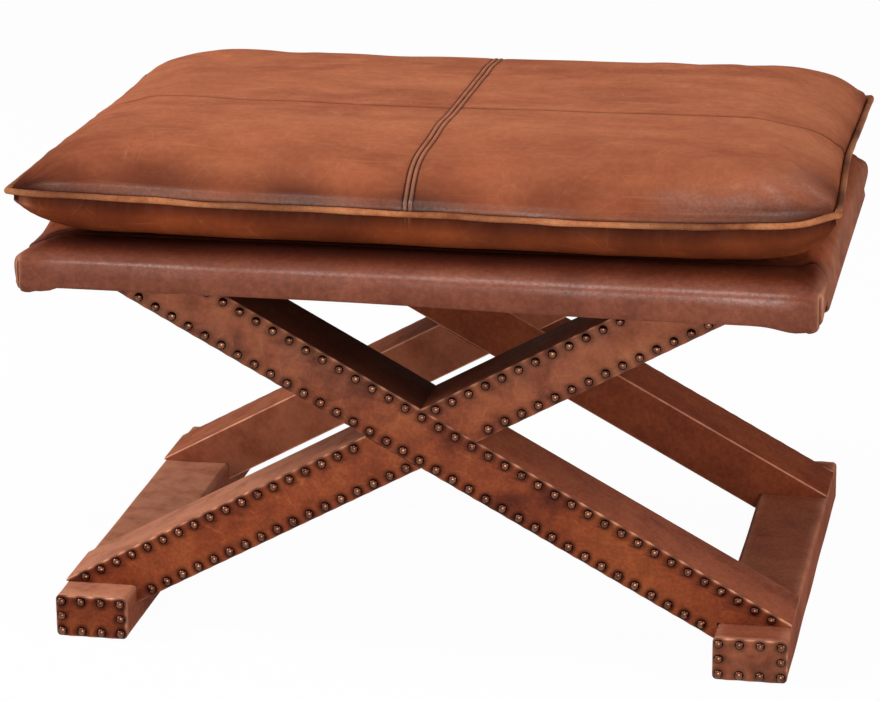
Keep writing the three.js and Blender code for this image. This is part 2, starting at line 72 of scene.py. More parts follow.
def makeCamera():
    data = bpy.data.cameras.new("photo_view")
    data.sensor_fit = "HORIZONTAL"
    data.sensor_width = camera["sensor"]
    data.lens = camera["lens"]
    data.clip_end = camera["farthest"]
    yaw, pitch, roll = camera["yaw"], camera["pitch"], camera["roll"]
    ahead = Vector((-math.sin(yaw) * math.cos(pitch), math.cos(yaw) * math.cos(pitch), -math.sin(pitch)))
    level = Vector((math.cos(yaw), math.sin(yaw), 0.0))
    upright = level.cross(ahead)
    right = level * math.cos(roll) + upright * math.sin(roll)
    up = upright * math.cos(roll) - level * math.sin(roll)
    turn = Matrix((right, up, -ahead)).transposed().to_4x4()
    scene.camera = addObject("photo_view", data)
    scene.camera.matrix_world = Matrix.Translation(camera["place"]) @ turn


makeCamera()


# Mesh helpers. Grids are arrays of points, rows by columns by 3.

def addLayer(mesh, label, values, kind="FLOAT", field="value"):
    layer = mesh.attributes.new(label, kind, "POINT")
    layer.data.foreach_set(field, np.asarray(values, np.float32).ravel())


def meshObject(name, points, faces, material, attributes=None):
    mesh = bpy.data.meshes.new(name)
    mesh.from_pydata(np.asarray(points, float).reshape(-1, 3).tolist(), [], faces)
    for label, values in (attributes or {}).items():
        addLayer(mesh, label, values)
    mesh.materials.append(material)
    return addObject(name, mesh)


def nodeCopy(name, node, material):
    # The frame's own mesh, copied under a new name with a new material
    mesh = frame["nodes"][node].data.copy()
    mesh.name = name
    mesh.materials.clear()
    mesh.materials.append(material)
    return addObject(name, mesh)


def evaluatedMesh(obj):
    return bpy.data.meshes.new_from_object(obj.evaluated_get(bpy.context.evaluated_depsgraph_get()))


def openMesh(mesh, weld, thin):
    # Welds what coincides, drops what has no size and turns every face outwards
    bm = bmesh.new()
    bm.from_mesh(mesh)
    bmesh.ops.remove_doubles(bm, verts=bm.verts, dist=weld)
    bmesh.ops.dissolve_degenerate(bm, dist=thin, edges=bm.edges)
    bmesh.ops.recalc_face_normals(bm, faces=bm.faces)
    return bm


def tidyMesh(obj, weld=1e-6, sharp=40):
    # Smooths all but the edges sharper than that many degrees
    mesh = obj.data
    bm = openMesh(mesh, weld, weld)
    bm.to_mesh(mesh)
    bm.free()
    mesh.shade_smooth()
    mesh.set_sharp_from_angle(angle=math.radians(sharp))
    mesh.update()


def cutAt(bm, place, way, cutOff=False):
    bmesh.ops.bisect_plane(bm, geom=bm.verts[:] + bm.edges[:] + bm.faces[:], dist=1e-6,
                           plane_co=place, plane_no=way, clear_outer=cutOff)


def dress(obj, body, slot, *replaced):
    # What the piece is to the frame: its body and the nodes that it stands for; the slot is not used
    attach(obj, body)
    if replaced:
        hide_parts(*replaced)


def gridFaces(rows, columns, closeRows=False, closeColumns=False, start=0, flip=False):
    faces = []
    for i in range(rows if closeRows else rows - 1):
        for j in range(columns if closeColumns else columns - 1):
            i2, j2 = (i + 1) % rows, (j + 1) % columns
            face = [i * columns + j, i2 * columns + j, i2 * columns + j2, i * columns + j2]
            faces.append([start + k for k in (reversed(face) if flip else face)])
    return faces


def bothSides(rows, columns, **closed):
    # The faces of two grids over each other
    return (gridFaces(rows, columns, **closed)
            + gridFaces(rows, columns, start=rows * columns, flip=True, **closed))


def closedSheet(front, back):
    # Two grids over each other, joined round their rim
    rows, columns = front.shape[:2]
    count = rows * columns
    rim = list(range(columns)) + [i * columns + columns - 1 for i in range(1, rows)]
    rim += [(rows - 1) * columns + j for j in range(columns - 2, -1, -1)]
    rim += [i * columns for i in range(rows - 2, 0, -1)]
    faces = bothSides(rows, columns)
    faces += [[a, b, b + count, a + count] for a, b in zip(rim, rim[1:] + rim[:1])]
    return np.concatenate([front.reshape(-1, 3), back.reshape(-1, 3)]), faces


def twice(**layers):
    # The same values for the front and the back of a sheet
    return {label: np.concatenate([values.ravel()] * 2) for label, values in layers.items()}


def smoothStep(value, low=0.0, high=1.0):
    share = np.clip((value - low) / (high - low), 0.0, 1.0)
    return share * share * (3.0 - 2.0 * share)


def bell(value, centre, spread):
    return np.exp(-((value - centre) / spread) ** 2)


def bumps(points, size, seed=0):
    # A smooth uneven field between about -1 and 1, with lumps of roughly that size
    x, y, z = [points[..., k] / size * 2.0 for k in range(3)]
    rng = np.random.default_rng(seed)
    total = np.zeros_like(x)
    for _ in range(7):
        direction = rng.normal(size=3)
        direction /= np.linalg.norm(direction)
        pace = rng.uniform(1.0, 2.6)
        total += np.sin(pace * (direction[0] * x + direction[1] * y + direction[2] * z) + rng.uniform(0, 6.28))
    return total / 3.5


# Node helpers. A value is a number, a colour or another node's output.

def feed(tree, socket, value):
    if isinstance(value, bpy.types.NodeSocket):
        tree.links.new(value, socket)
    elif value is not None:
        socket.default_value = value


def feedNode(tree, node, **inputs):
    for key, value in inputs.items():
        feed(tree, node.inputs[key.replace("_", " ")], value)
    return node


def addNode(tree, kind, settings=None, *values, **inputs):
    # Values go to the inputs in their order, the rest by name
    node = tree.nodes.new(kind)
    for key, value in (settings or {}).items():
        setattr(node, key, value)
    for socket, value in zip(node.inputs, values):
        feed(tree, socket, value)
    return feedNode(tree, node, **inputs)


def calculate(tree, operation, *values, clamp=False):
    return addNode(tree, "ShaderNodeMath", {"operation": operation, "use_clamp": clamp}, *values).outputs[0]


def times(tree, a, b, clamp=False):
    return calculate(tree, "MULTIPLY", a, b, clamp=clamp)


def vectorMath(tree, operation, *values):
    return addNode(tree, "ShaderNodeVectorMath", {"operation": operation}, *values).outputs[0]


def mixColour(tree, factor, a, b, blend="MIX"):
    node = addNode(tree, "ShaderNodeMix", {"data_type": "RGBA", "blend_type": blend})
    for index, value in ((0, factor), (6, a), (7, b)):
        feed(tree, node.inputs[index], value)
    return node.outputs[2]


def remap(tree, value, fromLow, fromHigh, toLow=0.0, toHigh=1.0):
    settings = {"interpolation_type": "SMOOTHSTEP"}
    return addNode(tree, "ShaderNodeMapRange", settings, value, fromLow, fromHigh, toLow, toHigh).outputs[0]


def objectPlace(tree):
    return addNode(tree, "ShaderNodeTexCoord").outputs["Object"]


def noise(tree, place, scale, detail, output="Fac", **more):
    return addNode(tree, "ShaderNodeTexNoise", Vector=place, Scale=scale, Detail=detail, **more).outputs[output]


def cellEdges(tree, place, scale):
    settings = {"feature": "DISTANCE_TO_EDGE"}
    return addNode(tree, "ShaderNodeTexVoronoi", settings, Vector=place, Scale=scale).outputs["Distance"]


def wave(tree, place, direction, scale, **more):
    settings = {"bands_direction": direction}
    return addNode(tree, "ShaderNodeTexWave", settings, Vector=place, Scale=scale, **more).outputs["Fac"]


def newGroup(name, kind, inputs, outputs):
    # Sockets are given as their first value, or as their kind where they have none
    tree = bpy.data.node_groups.new(name, kind)
    for direction, sockets in (("INPUT", inputs), ("OUTPUT", outputs)):
        for label, value in sockets.items():
            socketKind = {float: "Float", int: "Int", tuple: "Vector"}.get(type(value), value)
            if socketKind == "Vector" and len(value) == 4:
                socketKind = "Color"
            socket = tree.interface.new_socket(name=label, in_out=direction, socket_type="NodeSocket" + socketKind)
            if socketKind != value:
                socket.default_value = value
    given = {socket.name: socket for socket in tree.nodes.new("NodeGroupInput").outputs}
    return tree, given, tree.nodes.new("NodeGroupOutput")


def paint(code):
    # A colour written as in a paint shop, RRGGBB, as linear light
    values = [int(code[k:k + 2], 16) / 255 for k in (0, 2, 4)]
    return tuple(v / 12.92 if v <= 0.04045 else ((v + 0.055) / 1.055) ** 2.4 for v in values) + (1.0,)


# Leather tone: soft clouds and streaks between three colours, then a dark mix for wax and painted shade,
# and a pale mix for rubbed edges and painted highlights
def makeToneGroup():
    tree, given, result = newGroup("leather_tone", "ShaderNodeTree", {
        "Shift": (0.0, 0.0, 0.0), "Base": paint("8a4f38"), "Dark": paint("5a2c20"), "Light": paint("b07050"),
        "Cloud Scale": 9.0, "Streak": 2.5, "Dark Amount": 0.6, "Light Amount": 0.5,
        "Wax": 0.0, "Rub": 0.0, "Tan": 0.0, "Scuffs": 0.35, "Speck": 0.12,
    }, {"Color": "Color", "Patch": "Float"})
    place = vectorMath(tree, "ADD", objectPlace(tree), given["Shift"])
    scale, streak = given["Cloud Scale"], given["Streak"]

    def stretched(amount):
        factor = addNode(tree, "ShaderNodeCombineXYZ", X=1.0, Y=amount, Z=1.0).outputs[0]
        return vectorMath(tree, "MULTIPLY", place, factor)

    cloud = noise(tree, stretched(streak), scale, 4.0, Roughness=0.55, Distortion=0.6)
    mottle = noise(tree, stretched(calculate(tree, "SQRT", streak)), times(tree, scale, 3.7), 5.0,
                   Roughness=0.62, Distortion=0.3)
    speck = noise(tree, place, times(tree, scale, 26.0), 3.0, Roughness=0.6)
    tone = given["Base"]
    for label, coarse, fine, fineShare in (("Dark", (0.52, 0.34), (0.56, 0.34), 0.45),
                                           ("Light", (0.48, 0.72), (0.52, 0.74), 0.5)):
        both = calculate(tree, "ADD", times(tree, remap(tree, cloud, *coarse), 0.7),
                         times(tree, remap(tree, mottle, *fine), fineShare))
        tone = mixColour(tree, times(tree, both, given[label + " Amount"], clamp=True), tone, given[label])
    tone = mixColour(tree, given["Tan"], tone, mixColour(tree, 1.0, tone, (0.97, 0.68, 0.42, 1.0), "MULTIPLY"))
    speckShare = calculate(tree, "MULTIPLY_ADD", remap(tree, speck, 0.35, 0.68, -1.0, 1.0), given["Speck"], 1.0)
    shade = addNode(tree, "ShaderNodeCombineColor", Red=speckShare, Green=speckShare, Blue=speckShare)
    tone = mixColour(tree, 1.0, tone, shade.outputs[0], "MULTIPLY")
    for turn, slant in ((0.5, 260.0), (-0.9, 340.0)):
        slanted = addNode(tree, "ShaderNodeMapping", Vector=place, Rotation=(0.2, 0.3, turn), Scale=(9.0, slant, 30.0))
        scuff = remap(tree, noise(tree, slanted.outputs[0], 1.0, 2.0), 0.64, 0.78)
        tone = mixColour(tree, times(tree, scuff, given["Scuffs"]), tone, given["Light"])
    bend = noise(tree, place, 22.0, 3.0, "Color")
    vein = cellEdges(tree, vectorMath(tree, "MULTIPLY_ADD", bend, (0.035, 0.035, 0.035), place), 26.0)
    veinLine = times(tree, remap(tree, vein, 0.022, 0.0), remap(tree, mottle, 0.46, 0.62))
    tone = mixColour(tree, times(tree, veinLine, given["Scuffs"]), tone, given["Light"])
    # dark mix: real wax, and painted shade where the attribute is laid as shade
    tone = mixColour(tree, times(tree, given["Wax"], 0.85, clamp=True), tone, paint("2e1310"))
    # pale mix: rubbed wear, and painted highlights where the attribute is laid as light
    rubShare = times(tree, given["Rub"], remap(tree, mottle, 0.3, 0.62, 0.45, 1.0), clamp=True)
    feedNode(tree, result, Color=mixColour(tree, rubShare, tone, paint("dc9c7c")), Patch=mottle)
    return tree


# Leather grain: pebbled pores, long soft creases and a slight unevenness
def makeGrainGroup():
    tree, given, result = newGroup("leather_grain", "ShaderNodeTree", {
        "Shift": (0.0, 0.0, 0.0), "Pore Scale": 620.0, "Pores": 0.35, "Crease Scale": 38.0, "Creases": 0.5,
        "Unevenness": 0.6,
    }, {"Height": "Float"})
    place = vectorMath(tree, "ADD", objectPlace(tree), given["Shift"])
    warp = noise(tree, place, 55.0, 2.0, "Color")
    bent = vectorMath(tree, "MULTIPLY_ADD", warp, (0.006, 0.006, 0.006), place)
    pores = remap(tree, cellEdges(tree, bent, given["Pore Scale"]), 0.0, 0.16)
    creases = remap(tree, cellEdges(tree, bent, given["Crease Scale"]), 0.0, 0.05)
    uneven = noise(tree, place, 90.0, 4.0, Roughness=0.55)
    height = calculate(tree, "ADD", times(tree, pores, given["Pores"]), times(tree, creases, given["Creases"]))
    height = calculate(tree, "ADD", height, times(tree, uneven, given["Unevenness"]))
    feedNode(tree, result, Height=height)
    return tree


toneGroup = makeToneGroup()
grainGroup = makeGrainGroup()


def newMaterial(name):
    material = bpy.data.materials.new(name)
    material.use_nodes = True
    tree = material.node_tree
    return material, tree, tree.nodes["Principled BSDF"]


def attributeValue(tree, label):
    return addNode(tree, "ShaderNodeAttribute", {"attribute_name": label}).outputs["Fac"]


def addBump(tree, shader, height, strength, distance):
    bump = addNode(tree, "ShaderNodeBump", Strength=strength, Distance=distance, Height=height)
    feedNode(tree, shader, Normal=bump.outputs["Normal"])


leatherLooks = {
    "cushion_hide": {
        "polish": (0.03, 1.0), "sheen": 0.28, "gloss": (0.38, 0.55), "Creases": 0.12,
        "Base": "a15e42", "Dark": "7f432f", "Light": "b97552", "Shift": (0.3, 0.1, 0.0), "Cloud Scale": 5.5,
        "Streak": 2.4, "Dark Amount": 0.5, "Light Amount": 0.45, "Speck": 0.06, "Scuffs": 0.35,
    },
    "seat_hide": {
        "polish": (0.03, 1.0), "sheen": 0.27, "gloss": (0.26, 0.44), "Creases": 0.16,
        "Base": "7f4938", "Dark": "572d22", "Light": "9e6046", "Shift": (1.3, 0.4, 0.2), "Cloud Scale": 7.0,
        "Streak": 1.2, "Dark Amount": 0.5, "Light Amount": 0.3, "Speck": 0.12, "Scuffs": 0.14,
    },
    "base_hide": {
        "polish": (0.04, 0.2), "sheen": 0.3, "gloss": (0.36, 0.52), "Creases": 0.1,
        "Base": "8d4e38", "Dark": "67352a", "Light": "a9694b", "Shift": (0.7, 2.1, 0.5), "Cloud Scale": 9.0,
        "Streak": 1.4, "Dark Amount": 0.55, "Light Amount": 0.4, "Scuffs": 0.1,
    },
    "nailed_hide": {
        "polish": (0.05, 0.2), "sheen": 0.28, "gloss": (0.32, 0.5), "Creases": 0.14,
        "Base": "88472f", "Dark": "4f2721", "Light": "ad6840", "Shift": (2.2, 0.0, 1.5), "Cloud Scale": 11.0,
        "Streak": 1.2, "Dark Amount": 0.8, "Light Amount": 0.45,
    },
    "piping_hide": {
        "polish": (0.08, 0.08), "sheen": 0.25, "gloss": (0.34, 0.5), "Creases": 0.2,
        "Base": "b67149", "Dark": "824529", "Light": "d29266", "Shift": (3.1, 1.0, 0.0), "Cloud Scale": 16.0,
        "Streak": 1.0, "Dark Amount": 0.7, "Light Amount": 0.5,
    },
}


def makeLeather(name):
    look = leatherLooks[name]
    material, tree, shader = newMaterial(name)
    tone = addNode(tree, "ShaderNodeGroup", {"node_tree": toneGroup})
    for key, socket in tone.inputs.items():
        if key in look:
            socket.default_value = paint(look[key]) if isinstance(look[key], str) else look[key]
    for key in ("Wax", "Rub", "Tan"):
        tree.links.new(attributeValue(tree, key.lower()), tone.inputs[key])
    polish = remap(tree, attributeValue(tree, "polish"), 0.0, 1.0, *look["polish"])
    dapple = noise(tree, objectPlace(tree), 330.0, 3.0, Roughness=0.65)
    grain = addNode(tree, "ShaderNodeGroup", {"node_tree": grainGroup}, Shift=look["Shift"], Creases=look["Creases"])
    feedNode(tree, shader, Base_Color=tone.outputs["Color"], Specular_IOR_Level=0.0,
             Roughness=remap(tree, tone.outputs["Patch"], 0.3, 0.7, *look["gloss"]),
             Coat_Weight=times(tree, polish, remap(tree, dapple, 0.36, 0.6, 0.45, 1.0)),
             Coat_Roughness=look["sheen"])
    addBump(tree, shader, grain.outputs["Height"], 0.5, 0.0005)
    return material


leathers = {name: makeLeather(name) for name in leatherLooks}


def makeNailMetal():
    # Antique brass: dark patina with rubbed brass showing through, and a painted dark reflection towards the rim of
    # each head
    material, tree, shader = newMaterial("nail_brass")
    place = objectPlace(tree)
    patina = noise(tree, place, 140.0, 3.0, Roughness=0.6)
    tone = mixColour(tree, remap(tree, patina, 0.35, 0.65), paint("583528"), paint("80543f"))
    # painted reflection: each head darkens towards its rim
    rim = remap(tree, attributeValue(tree, "dome"), 0.45, 0.85)
    feedNode(tree, shader, Base_Color=mixColour(tree, rim, paint("2a120d"), tone), Metallic=1.0,
             Roughness=remap(tree, patina, 0.3, 0.7, 0.2, 0.13))
    addBump(tree, shader, noise(tree, place, 420.0, 2.0), 0.12, 0.0002)
    return material


def plainMaterial(name, makePattern, first, second, roughness, spread=None, bump=None, metallic=0.0):
    # One pattern drives the colour, the bump and, where that is a range, the roughness
    material, tree, shader = newMaterial(name)
    pattern = makePattern(tree, objectPlace(tree))
    share = remap(tree, pattern, *spread) if spread else pattern
    if isinstance(roughness, tuple):
        roughness = remap(tree, pattern, 0.3, 0.7, *roughness)
    feedNode(tree, shader, Base_Color=mixColour(tree, share, paint(first), paint(second)),
             Roughness=roughness, Metallic=metallic)
    if bump:
        addBump(tree, shader, pattern, *bump)
    return material


def woodRings(scale):
    def rings(tree, place):
        grain = addNode(tree, "ShaderNodeMapping", Vector=place, Scale=scale).outputs[0]
        return noise(tree, grain, 14.0, 6.0, Roughness=0.6, Distortion=1.1)
    return rings


def foamCells(tree, place):
    return addNode(tree, "ShaderNodeTexVoronoi", Vector=place, Scale=900.0).outputs["Distance"]


def weave(tree, place):
    return times(tree, wave(tree, place, "X", 380.0), wave(tree, place, "Y", 380.0))


def twist(tree, place):
    return wave(tree, place, "DIAGONAL", 520.0, Distortion=1.5)


def drawnSteel(tree, place):
    return noise(tree, place, 300.0, 3.0)


nailMetal = makeNailMetal()
thread = plainMaterial("thread", twist, "1c0e0b", "3a2019", 0.7, bump=(0.3, 0.0002))
foam = plainMaterial("foam_cells", foamCells, "cdbf98", "ece3c6", 0.95, bump=(0.6, 0.0008))
woodLook = {"roughness": (0.6, 0.8), "spread": (0.35, 0.66), "bump": (0.25, 0.0005)}
finishOf = {
    "timber": plainMaterial("timber_grain", woodRings((6.0, 1.0, 6.0)), "caa874", "a47c4c", **woodLook),
    "plywood": plainMaterial("plywood_grain", woodRings((1.0, 8.0, 8.0)), "d8bd8b", "b8935f", **woodLook),
    "dust_cloth": plainMaterial("dust_cloth_weave", weave, "141312", "33302d", 0.92, bump=(0.5, 0.0003)),
    "screw_steel": plainMaterial("zinc_steel", drawnSteel, "8b8d90", "c3c4c2", (0.25, 0.45), metallic=1.0),
}
print("materials: %d leathers and %d others" % (len(leathers), len(finishOf) + 3))

# Base frame: sizes that the legs, their faces and the runners share
leg = {"width": 0.0524, "toeOverhang": 0.004, "leather": 0.0016, "gap": 0.0003}
nail = {"diameter": 0.0094, "rise": 0.0038, "pitch": 0.0184, "inset": 0.0066, "capInset": 0.006,
        "capColumns": 4, "segments": 12, "rings": 6, "tilt": math.radians(4), "seed": 5}
relief = {                      # how the leather gives round its nails
    "dimple": 0.0011, "dimpleSpread": 0.0048, "puff": 0.0009, "puffPlace": 0.003, "puffSpread": 0.0032,
    "edgeRound": 0.0013, "scallop": 0.00014, "scallopFade": 0.003, "crown": 0.0003, "uneven": 0.00018,
    "step": 0.0016,
}

runnerLow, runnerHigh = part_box("right_runner_wrap")
screwLow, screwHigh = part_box("front_lap_screw")
legWrapLow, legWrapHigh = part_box("front_through_leg_wrap")
halfLeg = leg["width"] / 2
halfBase = runnerHigh.x
runnerInner = runnerLow.x
runnerTop = runnerHigh.z
crossing = (screwLow.z + screwHigh.z) / 2
legTop = legWrapHigh.z
frameFace = legWrapLow.y - leg["leather"] - leg["gap"]
toeReach = halfBase + leg["toeOverhang"]
slope = math.atan2(crossing - runnerTop, toeReach) + math.asin(halfLeg / math.hypot(toeReach, crossing - runnerTop))
cosA, sinA = math.cos(slope), math.sin(slope)
cosB, sinB = math.cos(2 * slope), math.sin(2 * slope)


def legX(fall, along, across):
    return fall * (along * cosA + across * sinA)


def legZ(along, across):
    return crossing - along * sinA + across * cosA


# Where a leg's face ends, as places along the leg for each place across it
def atHeight(z, across):
    return (crossing + across * cosA - z) / sinA


def atSide(x, across):
    return (x - across * sinA) / cosA


def topEnd(across):
    return atHeight(legTop, across)


def footEnd(across):
    seated = np.maximum(atSide(runnerInner - leg["gap"], across), atHeight(runnerTop + leg["gap"], across))
    return np.minimum(atSide(halfBase, across), seated)


def upperButt(across):
    return (across * cosB - halfLeg - leg["gap"]) / sinB


def lowerButt(across):
    return (across * cosB + halfLeg + leg["gap"]) / sinB


def offThrough(x, z):
    return abs(x * sinA + (z - crossing) * cosA) > halfLeg + leg["gap"] + nail["diameter"] / 2


def legNails(fall, isFree):
    # Places (along, across) of the nails on one leg
    radius = nail["diameter"] / 2
    steps = math.ceil(2 * halfBase / nail["pitch"])
    found = []
    for edge in (-1, 1):
        across = edge * (halfLeg - nail["inset"])
        for k in range(-steps, steps + 1):
            along = (2 * k + 1) * nail["pitch"] / 2
            x, z = legX(fall, along, across), legZ(along, across)
            floor = runnerTop if abs(x) + radius > runnerInner else 0.0
            if z - radius > floor and z + radius < legTop and abs(x) + radius < halfBase and isFree(x, z):
                found.append((along, across))
    return np.array(found)


def nearest(points, places):
    # Distance from each point of a grid to the nearest place
    least = np.full(points.shape[:-1], 1.0)
    for place in places:
        least = np.minimum(least, np.hypot(points[..., 0] - place[0], points[..., 1] - place[1]))
    return least


def nailedRelief(flat, foot, edge, nails, inset, pitch):
    # How high the leather stands, where it is waxed and shaded and where it is rubbed and highlighted. Foot is the
    # nearest point of the free edge and edge the distance to it.
    toNail = nearest(flat, nails)
    footToNail = nearest(foot, nails)
    free = smoothStep(footToNail, inset, math.hypot(inset, pitch / 2))
    height = -relief["dimple"] * bell(toNail, 0, relief["dimpleSpread"])
    height += relief["puff"] * free * bell(edge, relief["puffPlace"], relief["puffSpread"])
    height += relief["crown"] * smoothStep(edge, 0.0, 0.02)
    over = np.clip(relief["edgeRound"] - edge, 0.0, relief["edgeRound"])
    height -= relief["edgeRound"] - np.sqrt(relief["edgeRound"] ** 2 - over ** 2)
    outward = relief["scallop"] * (free - 0.5) * np.exp(-edge / relief["scallopFade"])
    # painted shade in a ring round each nail head; darker edges near the nails
    wax = 0.8 * bell(toNail, nail["diameter"] / 2, 0.0022) + 0.4 * bell(edge, 0, 0.008) * (1 - 0.7 * free)
    # a pale line along the free edges between the nails: rubbed wear and painted highlight
    rub = (0.2 + 0.8 * free) * bell(edge, 0, 0.0012)
    return height, outward, np.clip(wax, 0, 1), np.clip(rub, 0, 1)


def turned(points, isRear):
    # The rear frame is the front one turned half round
    return points * (-1, -1, 1) if isRear else points


nailPlaces = []


def edgeRows(half):
    # Rows across a face, close together near its two edges
    fromEdge = [0.0, 0.00035, 0.0008, 0.0014, 0.0022, 0.0032, 0.0044, 0.0058, 0.0074, 0.0092, 0.0112, 0.0145, 0.0195]
    return sorted({-half + d for d in fromEdge} | {half - d for d in fromEdge} | {0.0})


def addLegFace(name, fall, start, end, isFree, isRear):
    rows = set(edgeRows(halfLeg))
    heel = (runnerTop + leg["gap"] - crossing) * cosA
    for x in (runnerInner - leg["gap"], halfBase):
        rows.add(x * sinA + heel)      # the corners of the notch over the runner
    across = np.array(sorted(r for r in rows if abs(r) <= halfLeg))
    first, last = start(across), end(across)
    count = math.ceil((last - first).max() / relief["step"])
    share = np.linspace(0, 1, count + 1)
    along = first[None, :] + share[:, None] * (last - first)[None, :]
    wide = np.broadcast_to(across, along.shape)
    nails = legNails(fall, isFree)
    flat = np.stack([along, wide], -1)
    side = np.where(wide < 0, -1.0, 1.0)
    foot = np.stack([along, side * halfLeg], -1)
    height, outward, wax, rub = nailedRelief(flat, foot, halfLeg - abs(wide), nails, nail["inset"], nail["pitch"])
    rub *= np.where(wide > 0, 1.0, 0.3)          # paler on its upper edge: painted highlight where the edge catches the light from above
    x = legX(fall, along, wide + side * outward)
    z = legZ(along, wide + side * outward)
    height += relief["uneven"] * bumps(np.stack([x, z, z * 0], -1), 0.03, 3)
    front = np.stack([x, frameFace - height, z], -1)
    back = np.stack([x, np.full_like(x, frameFace + leg["leather"]), z], -1)
    points, faces = closedSheet(front, back)
    foot = 1 - smoothStep(z, 0.1, 0.27)
    tan = 0.5 * foot                             # redder and darker towards the foot
    rub = np.maximum(rub, 0.14 * smoothStep(z, 0.2, 0.32))
    wax = np.minimum(wax + (0.1 * foot if fall > 0 else 0.0), 1.0)
    values = twice(wax=wax, rub=rub, tan=tan)
    obj = meshObject(name, turned(points, isRear), faces, leathers["nailed_hide"], values)
    tidyMesh(obj)
    dress(obj, "stool", "nailed_leather", name)
    addNails([(legX(fall, a, c), frameFace, legZ(a, c)) for a, c in nails], isRear)


def addNails(places, isRear):
    for place in turned(np.asarray(places), isRear):
        nailPlaces.append((place, (0.0, 1.0 if isRear else -1.0, 0.0)))


for frameName, isRear in (("front", False), ("rear", True)):
    addLegFace(frameName + "_through_leg_face", 1, topEnd, footEnd, lambda x, z: True, isRear)
    addLegFace(frameName + "_lapped_leg_upper_face", -1, topEnd, upperButt,
               lambda x, z: z > crossing and offThrough(x, z), isRear)
    addLegFace(frameName + "_lapped_leg_lower_face", -1, lowerButt, footEnd,
               lambda x, z: z < crossing and offThrough(x, z), isRear)
print("leg faces: %d nails" % len(nailPlaces))

# Leg wraps: the CAD channel with its long edges rounded
wrap = {"backRound": 0.0028, "frontRound": 0.0007, "segments": 4, "slice": 0.012}


def roundedLegWrap(name, fall, isRear):
    obj = nodeCopy(name + "_leather", name, leathers["base_hide"])
    mesh = obj.data
    bm = bmesh.new()
    bm.from_mesh(mesh)
    bmesh.ops.remove_doubles(bm, verts=bm.verts, dist=1e-5)
    bmesh.ops.dissolve_limit(bm, angle_limit=math.radians(0.5), verts=bm.verts, edges=bm.edges)
    sign = -1 if isRear else 1
    direction = Vector((fall * sign * cosA, 0, -sinA))

    def across(point):
        return point.x * sign * fall * sinA + (point.z - crossing) * cosA

    def fromFace(point):
        return point.y * sign - frameFace

    def isOuter(edge):
        run = edge.verts[1].co - edge.verts[0].co
        isLong = run.length > 0.004 and abs(run.normalized().dot(direction)) > 0.9999
        return isLong and all(abs(abs(across(v.co)) - halfLeg) < 1e-4 for v in edge.verts)

    backAt = legWrapHigh.y - frameFace
    for atBack, width in ((True, wrap["backRound"]), (False, wrap["frontRound"])):
        chosen = []
        for edge in bm.edges:
            reach = fromFace(edge.verts[0].co)
            nearIt = reach > backAt - 1e-4 if atBack else reach < 0.003
            if nearIt and isOuter(edge) and len(edge.link_faces) == 2:
                chosen.append(edge)
        bmesh.ops.bevel(bm, geom=chosen, offset=width, segments=wrap["segments"], profile=0.5,
                        affect="EDGES", clamp_overlap=True)
    for place in np.arange(-0.5, 0.5, wrap["slice"]):
        cutAt(bm, Vector((0, 0, crossing)) + direction * place, direction)
    rub, wax, tan = [bm.verts.layers.float.new(label) for label in ("rub", "wax", "tan")]
    for vert in bm.verts:
        reach, side = fromFace(vert.co), abs(across(vert.co))
        rounded = side > halfLeg - wrap["backRound"] and reach > backAt - wrap["backRound"]
        onArc = rounded and not (side > halfLeg - 1e-5 or reach > backAt - 1e-5)
        vert[rub] = (1.05 if fall == 1 and isRear else 0.6) if onArc else 0.0
        # redder and darker on the rear wraps: painted shade
        vert[tan] = 0.7 if isRear else 0.1
        shade = 0.0
        # rear wraps: painted shade, most up under the seat on the left-foot leg, and painted light low down on that
        # leg
        if isRear:
            low = 1 - smoothStep(vert.co.z, 0.18, 0.33)
            shade = 0.35 * (1 - low) if fall > 0 else 0.25
            vert[rub] = vert[rub] if onArc or fall < 0 else 0.16 * low
        # painted shade along the edge of the face panel; elsewhere the shade above
        vert[wax] = 0.5 if reach < 0.0024 else shade
        # front wraps' upper sides: painted light on the lapped leg below the crossing, painted shadow from the seat on
        # the through leg above it
        if not isRear and across(vert.co) > halfLeg - 1e-5:
            if fall < 0 and vert.co.z < crossing:
                vert[rub] = 0.38
            elif fall > 0 and vert.co.z > crossing:
                vert[wax] = 0.85
    bm.to_mesh(mesh)
    bm.free()
    tidyMesh(obj)
    dress(obj, "stool", "base_leather", name)


for frameName, isRear in (("front", False), ("rear", True)):
    roundedLegWrap(frameName + "_through_leg_wrap", 1, isRear)
    roundedLegWrap(frameName + "_lapped_leg_wrap", -1, isRear)
print("leg wraps: 4")

# Runners
runner = {"corner": 0.0045, "cornerSteps": 7, "spacing": 0.007, "uneven": 0.0003}


def roundedLoop(width, height, radius):
    # Points round a rounded rectangle, the same number for every size
    loop = []
    acrossCount = math.ceil((runnerHigh.x - runnerLow.x) / runner["spacing"])
    upCount = math.ceil(runnerTop / runner["spacing"])
    halfX, halfZ = width / 2 - radius, height / 2 - radius
    corners = [(halfX, halfZ), (-halfX, halfZ), (-halfX, -halfZ), (halfX, -halfZ)]
    for quarter, (cx, cz) in enumerate(corners):
        for step in range(runner["cornerSteps"] + 1):
            angle = (quarter + step / runner["cornerSteps"]) * math.pi / 2
            loop.append((cx + radius * math.cos(angle), cz + radius * math.sin(angle)))
        nx, nz = corners[(quarter + 1) % 4]
        angle = (quarter + 1) * math.pi / 2
        count = acrossCount if quarter % 2 == 0 else upCount
        for step in range(1, count):
            share = step / count
            loop.append((cx + (nx - cx) * share + radius * math.cos(angle),
                         cz + (nz - cz) * share + radius * math.sin(angle)))
    return np.array(loop)


